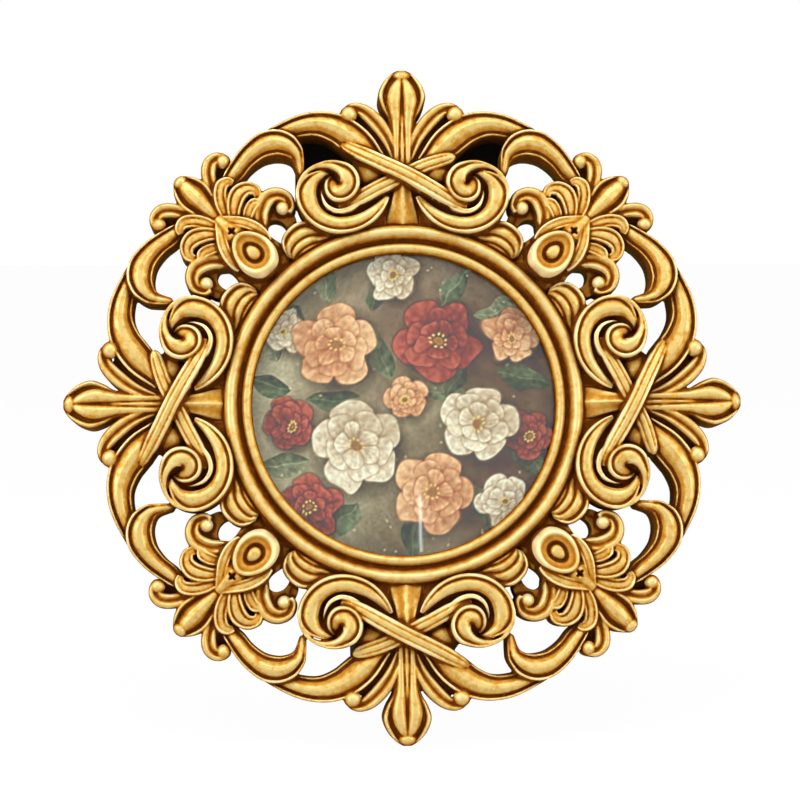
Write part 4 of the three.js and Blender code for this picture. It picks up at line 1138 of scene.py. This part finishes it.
# %% Easel leg
LEG_OPEN = math.radians(22)
LEG_TOP, LEG_END = -2.6, -171.0  # below the hinge axis
LEG_BACK, LEG_FRONT = 0.75, 3.75
LEG_SHOULDER, LEG_TOE, LEG_CORNER = 20.0, 16.0, 6.0
hinge_place = face_place @ Matrix.Translation(HINGE_AT)
leg_place = hinge_place @ Matrix.Rotation(LEG_OPEN, 4, "X")

leg_corner = arc(LEG_SHOULDER - LEG_CORNER, LEG_TOP - LEG_CORNER, LEG_CORNER, 0, 90)
leg_mesh = board(mirrored([(LEG_TOE, LEG_END)] + leg_corner), LEG_BACK, LEG_FRONT, BOARD_EDGE, flock)
piece("flocked_leg", leg_mesh, "leg", ["easel_leg"], leg_place)
sawn = bmesh.new()
sawn.from_mesh(leg_mesh)
parts = sawn.verts[:] + sawn.edges[:] + sawn.faces[:]
cut = bmesh.ops.bisect_plane(sawn, geom=parts, plane_co=(0, 0, 0), plane_no=(0, 0, -1), clear_outer=True)
sawn_edges = [part for part in cut["geom_cut"] if isinstance(part, bmesh.types.BMEdge)]
bmesh.ops.edgeloop_fill(sawn, edges=sawn_edges)
sawn.to_mesh(leg_mesh)
sawn.free()
print("leg foot, m:", round(points_of(leg_mesh)[:, 2].min(), 5))

# %% [markdown]
# ## Metal fittings
# Two finishes: the turn buttons are stamped steel with a thin brass wash, everything else is zinc plated
# steel. Both carry the fine drawn lines of rolled strip, so a Mapping node stretches the noise along X, and
# it drives the roughness, which is where such lines show.

# %% Steel finishes
LINE_MM = (8.33, 0.417, 0.417)  # length, width and depth of a drawn line, wide enough to show


def strip_metal(name, colour, roughness):
    """Rolled steel strip with a plated colour."""
    material, tree, shader = finish_tree(name)
    place = add(tree, "ShaderNodeTexCoord").outputs["Object"]
    drawn = add(tree, "ShaderNodeMapping", {"Vector": place, "Scale": [cell(size) for size in LINE_MM]})
    lines = add(tree, "ShaderNodeTexNoise", {"Vector": drawn, "Scale": 1.0, "Detail": 3.0})
    span = {1: 0.3, 2: 0.7, 3: roughness - 0.08, 4: roughness + 0.1}
    worn = add(tree, "ShaderNodeMapRange", {"Value": lines} | span)
    feed(shader, {"Base Color": tint(colour), "Metallic": 1.0, "Roughness": worn})
    return material


zinc = strip_metal("zinc plated steel", "#C9CACB", 0.34)
brass = strip_metal("brass washed steel", "#C9A04C", 0.3)
print("metals:", zinc.name + ",", brass.name)

# %% [markdown]
# The buttons are flat strips with round ends. Each pivots on its screw at one end and reaches in over the
# back board. One outline of two half circles serves all four, but each is its own moving body, so each is
# its own piece.

# %% Turn buttons
BUTTON_PIVOT, BUTTON_HALF, BUTTON_REACH = 55.15, 4.0, 11.0
BUTTON_BACK, BUTTON_FRONT, BUTTON_EDGE = -1.3, -0.3, 0.25
BUTTON_ANGLES = (45, 135, 225, 315)
button_outline = arc(0, 0, BUTTON_HALF, 0, 180, 20) + arc(0, -BUTTON_REACH, BUTTON_HALF, 180, 360, 20)
for i, angle in enumerate(BUTTON_ANGLES, 1):
    button = board(button_outline, BUTTON_BACK, BUTTON_FRONT, BUTTON_EDGE, brass)
    turn = Matrix.Rotation(math.radians(angle - 90), 4, "Z") @ Matrix.Translation((0, BUTTON_PIVOT, 0))
    name = f"turn_button_{i}"
    piece("brass_" + name, button, f"button_{i}", [name], face_place @ turn)
print("button faces:", len(button.polygons))

# %% [markdown]
# ## Screws, rivets and nails
# A turned head is one profile spun round its axis. The screw heads then get a cross recess, cut by two wedges
# with a Boolean modifier, because a recess isn't round and can't be turned.

# %% Turned heads
def spun(rows, around=40):
    """A closed turned solid from rows of (radius, z) that start and end on the axis."""
    turns = [(math.cos(a), math.sin(a)) for a in np.linspace(0, 2 * math.pi, around, endpoint=False)]
    points = [(r * c, r * s, z) for r, z in rows[1:-1] for c, s in turns]
    first, last = len(points), len(points) + 1
    faces = between(len(rows) - 2, around)
    for j in range(around):  # a fan at each pole
        k = (j + 1) % around
        faces += [(first, k, j), (first - around + j, first - around + k, last)]
    made = flat_object("turned head", points + [(0, 0, rows[0][1]), (0, 0, rows[-1][1])], [], faces)
    made.data.shade_smooth()
    return made


SCREW_HEAD = [
    [0, -1.5], [0.8, -1.49], [1.5, -1.4], [2.1, -1.1], [2.45, -0.65], [2.6, -0.2], [2.6, 0], [1.3, 0],
    [1.3, 4.5], [0, 6],
]
RIVET_HEAD = [[0, -1], [0.9, -0.93], [1.6, -0.65], [2.05, -0.25], [2.2, 0], [1.2, 0], [1.2, 3.9], [0, 3.9]]
NAIL_HEAD = [[0, -0.5], [0.9, -0.46], [1.3, -0.3], [1.4, -0.1], [1.4, 0], [0.6, 0], [0.6, 3], [0, 3.4]]
CROSS_LONG, CROSS_WIDE = 2.8, 0.65
CROSS_TOP, CROSS_FLOOR = -2, -0.5


def crossed(head):
    """Cuts a cross recess into a screw head."""
    for length, width in ((CROSS_LONG, CROSS_WIDE), (CROSS_WIDE, CROSS_LONG)):
        corners = [(x * length / 2, y * width / 2) for x, y in ((-1, -1), (1, -1), (1, 1), (-1, 1))]
        wedge = [[(x * k, y * k, z) for x, y in corners] for k, z in ((1, CROSS_TOP), (0.5, CROSS_FLOOR))]
        points, faces = stacked(wedge)
        driver = flat_object("driver", points, [], faces)
        head.modifiers.new("slot", "BOOLEAN").object = driver
        made = flat_object("turned head", [])
        made.data = evaluated(head)
        bpy.data.objects.remove(driver)
        head = made
    return head


screw_head, rivet_head, nail_head = crossed(spun(SCREW_HEAD)), spun(RIVET_HEAD), spun(NAIL_HEAD)
print("screw head faces:", len(screw_head.data.polygons))

# %% [markdown]
# Eight screws, four rivets and two nails are the same three heads over and over, so Geometry Nodes set a
# head on each of a few points, with a random turn of its own, as hand-driven screws have. The seed is fixed,
# so they stand the same way every time.

# %% Heads on points
def heads_on_points_tree():
    """Sets a head on each point, with a turn of its own."""
    tree, given = new_tree("heads on points", Head="Object", Seed="Int", Finish="Material")
    head = add(tree, "GeometryNodeObjectInfo", {"Object": given["Head"], "As Instance": True})
    whole_turn = {"Max": (0.0, 0.0, 2 * math.pi), "Seed": given["Seed"]}
    turn = add(tree, "FunctionNodeRandomValue", whole_turn, data_type="FLOAT_VECTOR")
    heads = add(tree, "GeometryNodeInstanceOnPoints", {
        "Points": given["Geometry"], "Instance": head.outputs["Geometry"], "Rotation": turn.outputs["Value"],
    })
    return end_tree(tree, heads, given["Finish"])


heads_tree = heads_on_points_tree()


def fastened(points, head, seed):
    """One mesh with a head on each point."""
    return grown(flat_object("fastenings", points), heads_tree, Head=head, Seed=seed, Finish=zinc)


BUTTON_SCREW_Z, PLATE_SCREW_Z, NAIL_Z = -1.6, -3.6, -4.7
RIVET_X, FIXED_RIVET_Y, LEG_RIVET_Y, RIVET_Z = 9.0, 11.0, -15.8, -0.75  # in the hinge's own frame
PLATE_SCREWS = ((20.6, 69.4), (25.0, 87.7))
NAIL_X, NAIL_Y = 18, 84
screw_points = [(x, y, BUTTON_SCREW_Z) for a in BUTTON_ANGLES for x, y in arc(0, 0, BUTTON_PIVOT, a, a, 1)]
screw_points += [(side * x, y, PLATE_SCREW_Z) for side in (-1, 1) for x, y in PLATE_SCREWS]
screw_nodes = [f"{kind}_{i}" for kind in ("turn_button_screw", "strut_plate_screw") for i in range(1, 5)]
piece("zinc_screws", fastened(screw_points, screw_head, 3), "frame", screw_nodes)
nails = fastened([(side * NAIL_X, NAIL_Y, NAIL_Z) for side in (-1, 1)], nail_head, 5)
piece("hanger_nails", nails, "frame", ["hanger_nail_1", "hanger_nail_2"])
for label, body, y, place in (
    ("hinge", "frame", FIXED_RIVET_Y, hinge_place), ("leg", "leg", LEG_RIVET_Y, leg_place),
):
    rivets = fastened([(side * RIVET_X, y, RIVET_Z) for side in (-1, 1)], rivet_head, 7)
    nodes = [f"{label}_rivet_{i}" for i in (1, 2)]
    piece(f"{label}_rivets", rivets, body, nodes, place)
for head in (screw_head, rivet_head, nail_head):
    bpy.data.objects.remove(head)
print("screws:", len(screw_points))

# %% [markdown]
# ## Hanger
# A sawtooth hanger is a strip bowed out in the middle so that a nail head can slip behind it, with teeth
# along its lower edge that keep the frame from sliding. It is built as a row of upright cuts across the
# strip: at each one the bow gives the depth and the teeth give the lower edge.

# %% Sawtooth hanger
HANGER_HALF, HANGER_TAB, HANGER_BOW, HANGER_T, HANGER_EDGE = 21.0, 15.0, 1.8, 0.8, 0.12
HANGER_Y, HANGER_H, HANGER_Z = 84.0, 8.0, -3.6
TOOTH_COUNT, TOOTH_DEPTH = 7, 1.6
bend = HANGER_TAB - HANGER_BOW
pitch = 2 * bend / (TOOTH_COUNT + 1)
cuts = [(-HANGER_HALF, 0), (-HANGER_TAB, 0), (-bend, 0)]
for i in range(TOOTH_COUNT):
    middle = (i - (TOOTH_COUNT - 1) / 2) * pitch
    cuts += [(middle - 0.25 * pitch, 0), (middle, TOOTH_DEPTH), (middle + 0.25 * pitch, 0)]
cuts += [(bend, 0), (HANGER_TAB, 0), (HANGER_HALF, 0)]
hanger_rings = []
for x, notch in cuts[::-1]:  # from right to left, so that the faces point outwards
    z = HANGER_Z - HANGER_BOW * min(1, max(0, (HANGER_TAB - abs(x)) / HANGER_BOW))
    low, high = HANGER_Y - HANGER_H / 2 + notch, HANGER_Y + HANGER_H / 2
    hanger_rings.append([(x, low, z), (x, high, z), (x, high, z - HANGER_T), (x, low, z - HANGER_T)])
hanger_points, hanger_faces = stacked(hanger_rings)
hanger = rounded(flat_object("hanger", hanger_points, [], hanger_faces), HANGER_EDGE, zinc)
piece("zinc_hanger", hanger, "frame", ["sawtooth_hanger"])
print("hanger teeth:", TOOTH_COUNT)

# %% [markdown]
# ## Hinge
# Two leaves of strip steel meet in rolled knuckles on one pin. The fixed leaf has the middle knuckle and a
# tongue that stops the leg; the moving leaf has the two outer ones. They are drawn about the pin, so that the
# leg's own matrix swings its leaf with it.

# %% Hinge
KNUCKLE_R, KNUCKLE_HALF, KNUCKLE_GAP = 2.0, 6.0, 0.3
LEAF_HALF, LEAF_T, LEAF_EDGE, CLEAR = 15.0, 0.9, 0.15, 2.6
MOVING_END_HALF = 0.7 * LEAF_HALF
PIN_R, PIN_CAP_R, PIN_HALF, PIN_CAP = 1.0, 1.5, 15.3, 0.8
FIXED_TOP, MOVING_END, STOP_END, STOP_GAP = 16.6, -24.6, -8.0, 0.3
along_pin = Matrix.Rotation(math.pi / 2, 4, "Y")


def leaf_steel(outline, z=0):
    """A flat of leaf steel whose middle lies at a depth."""
    return board(outline, z - LEAF_T / 2, z + LEAF_T / 2, LEAF_EDGE, zinc)


def strip(x0, x1, y0, y1, z=0):
    """A rectangle of leaf steel."""
    return leaf_steel([(x0, y0), (x1, y0), (x1, y1), (x0, y1)], z)


def roll(x0, x1, radius):
    """A knuckle or a pin between two places along the hinge."""
    inner, near, far = radius - LEAF_EDGE, x0 + LEAF_EDGE, x1 - LEAF_EDGE
    made = spun([[0, x0], [inner, x0], [radius, near], [radius, far], [inner, x1], [0, x1]])
    made.data.materials.append(zinc)
    mesh = evaluated(made)
    mesh.transform(along_pin)
    return mesh


tongue = strip(-KNUCKLE_HALF, KNUCKLE_HALF, STOP_END, 0, -LEAF_T - STOP_GAP)
tongue.transform(Matrix.Rotation(LEG_OPEN, 4, "X"))
fixed = merged([
    strip(-LEAF_HALF, LEAF_HALF, CLEAR, FIXED_TOP), strip(-KNUCKLE_HALF, KNUCKLE_HALF, 0, CLEAR + LEAF_T),
    roll(-KNUCKLE_HALF, KNUCKLE_HALF, KNUCKLE_R), tongue,
])
moving_parts = [leaf_steel([
    (-MOVING_END_HALF, MOVING_END), (MOVING_END_HALF, MOVING_END), (LEAF_HALF, -CLEAR), (-LEAF_HALF, -CLEAR),
])]
outer_start = KNUCKLE_HALF + KNUCKLE_GAP
for x0, x1 in ((-LEAF_HALF, -outer_start), (outer_start, LEAF_HALF)):
    moving_parts += [roll(x0, x1, KNUCKLE_R), strip(x0, x1, -CLEAR - LEAF_T, 0)]
moving = merged(moving_parts)
pin = merged([
    roll(-PIN_HALF, PIN_HALF, PIN_R), roll(-PIN_HALF - PIN_CAP, -PIN_HALF, PIN_CAP_R),
    roll(PIN_HALF, PIN_HALF + PIN_CAP, PIN_CAP_R),
])
piece("hinge_top_leaf", fixed, "frame", ["hinge_fixed_leaf"], hinge_place)
piece("hinge_leg_leaf", moving, "leg", ["hinge_moving_leaf"], leg_place)
piece("hinge_pin_rod", pin, "frame", ["hinge_pin"], hinge_place)
print("hinge faces:", len(fixed.polygons), len(moving.polygons), len(pin.polygons))

# %% [markdown]
# ## Studio
# The frame stands on a pale floor before a white backdrop. To the camera, in reflections and through the
# glass both glow white, whatever the lamps do, and so does the room round them; the floor glows a little less
# than fully, so that a trace of the frame's shadow stays. As a light the room is dim, so that three broad
# white panels can model the relief.

# %% Floor, backdrop and lights
FLOOR_GLOW, ROOM_LIGHT = 0.972, 0.28
STAGE_HALF, STAGE_BACK, STAGE_HIGH = 4, 3, 5


def seen_rays(tree):
    """1 for a ray from the camera, off a shiny surface or through glass, 0 for a ray that only lights."""
    ray = add(tree, "ShaderNodeLightPath").outputs
    seen = ray["Is Camera Ray"]
    for kind in ("Is Glossy Ray", "Is Transmission Ray"):
        seen = add(tree, "ShaderNodeMath", {0: seen, 1: ray[kind]}, operation="MAXIMUM").outputs[0]
    return seen


def stage_plane(name, corners, shade, glow):
    """A plain surface that shows white to the camera, to glossy and to transmitted rays."""
    plane = flat_object(name, corners, [], [(0, 1, 2, 3)])
    material, tree, shader = finish_tree(name)
    feed(shader, {"Base Color": tint(shade), "Roughness": 0.9, "Specular IOR Level": 0.0})
    share = add(tree, "ShaderNodeMath", {0: seen_rays(tree), 1: glow}, operation="MULTIPLY")
    white = add(tree, "ShaderNodeEmission", {"Color": tint("#FFFFFF"), "Strength": 1.0})
    mixed = add(tree, "ShaderNodeMixShader", {0: share, 1: shader, 2: white})
    feed(tree.nodes["Material Output"], {"Surface": mixed})
    plane.data.materials.append(material)


stage_plane("studio floor", [
    (-STAGE_HALF, -STAGE_HALF, 0), (STAGE_HALF, -STAGE_HALF, 0),
    (STAGE_HALF, STAGE_BACK, 0), (-STAGE_HALF, STAGE_BACK, 0),
], "#F6F6F4", FLOOR_GLOW)
stage_plane("studio backdrop", [
    (-STAGE_HALF, STAGE_BACK, 0), (STAGE_HALF, STAGE_BACK, 0),
    (STAGE_HALF, STAGE_BACK, STAGE_HIGH), (-STAGE_HALF, STAGE_BACK, STAGE_HIGH),
], "#FFFFFF", 1.0)

scene = bpy.context.scene
scene.view_settings.view_transform = "Standard"
scene.world = bpy.data.worlds.new("studio air")
scene.world.use_nodes = True
tree = scene.world.node_tree
strength = add(tree, "ShaderNodeMapRange", {"Value": seen_rays(tree), 3: ROOM_LIGHT, 4: 1.0})
feed(tree.nodes["Background"], {"Color": tint("#FFFFFF"), "Strength": strength})


def facing(spot, target):
    """The matrix that stands a lamp or a camera at a spot and turns it to a target."""
    return Matrix.Translation(spot) @ (target - Vector(spot)).to_track_quat("-Z", "Y").to_matrix().to_4x4()


def softbox(name, spot, size, watts, target=face_place.translation):
    """A white panel or tube that faces a target."""
    lamp = bpy.data.lights.new(name, "AREA")
    lamp.shape = "RECTANGLE"
    lamp.size, lamp.size_y = size
    lamp.energy = watts
    made = bpy.data.objects.new(name, lamp)
    made.matrix_world = facing(spot, target)
    scene.collection.objects.link(made)


softbox("left panel", (-0.8, -0.5, 0.5), (0.4, 0.8), 8.6)
softbox("right panel", (0.85, -0.5, 0.35), (0.35, 0.8), 6.8)
softbox("top panel", (0, -0.4, 0.95), (0.9, 0.4), 8.6)
print("panels:", len(bpy.data.lights))

# %% [markdown]
# The camera looks at the leaning face from a little below square-on and from the left. A short tube lamp
# stands where the pane mirrors it towards the camera, so a thin streak shows on the glass and tells the eye
# that glass is there.

# %% Camera and the streak on the glass
EYE_DISTANCE = 0.69
VIEW_WIDTH = 0.259  # seen across the frame at that distance
AIM = Vector((-0.0009, 0, 0.0021))  # the face's centre sits a little low and right in the picture
BELOW, LEFTWARD = math.radians(5.5), math.radians(2.5)
GLARE_AT = face_place @ Vector((5, -38, 7.5))  # the streak's middle on the pane
TUBE_SIZE, TUBE_WATTS, TUBE_AWAY = (0.0016, 0.034), 0.0016, 0.6
look = Matrix.Rotation(-LEFTWARD, 3, "Z") @ Matrix.Rotation(BELOW - LEAN, 3, "X") @ Vector((0, -1, 0))
aim = face_place.translation + AIM
spot = aim + look * EYE_DISTANCE
camera = bpy.data.objects.new("camera", bpy.data.cameras.new("camera"))
camera.data.lens = camera.data.sensor_width * EYE_DISTANCE / VIEW_WIDTH
camera.data.clip_start = 0.01
camera.matrix_world = facing(spot, aim)
scene.collection.objects.link(camera)
scene.camera = camera

away = (GLARE_AT - spot).normalized()
mirrored_way = away - 2 * away.dot(face_normal) * face_normal
softbox("tube lamp", GLARE_AT + TUBE_AWAY * mirrored_way, TUBE_SIZE, TUBE_WATTS, GLARE_AT)
print("camera, m:", [round(v, 4) for v in spot])
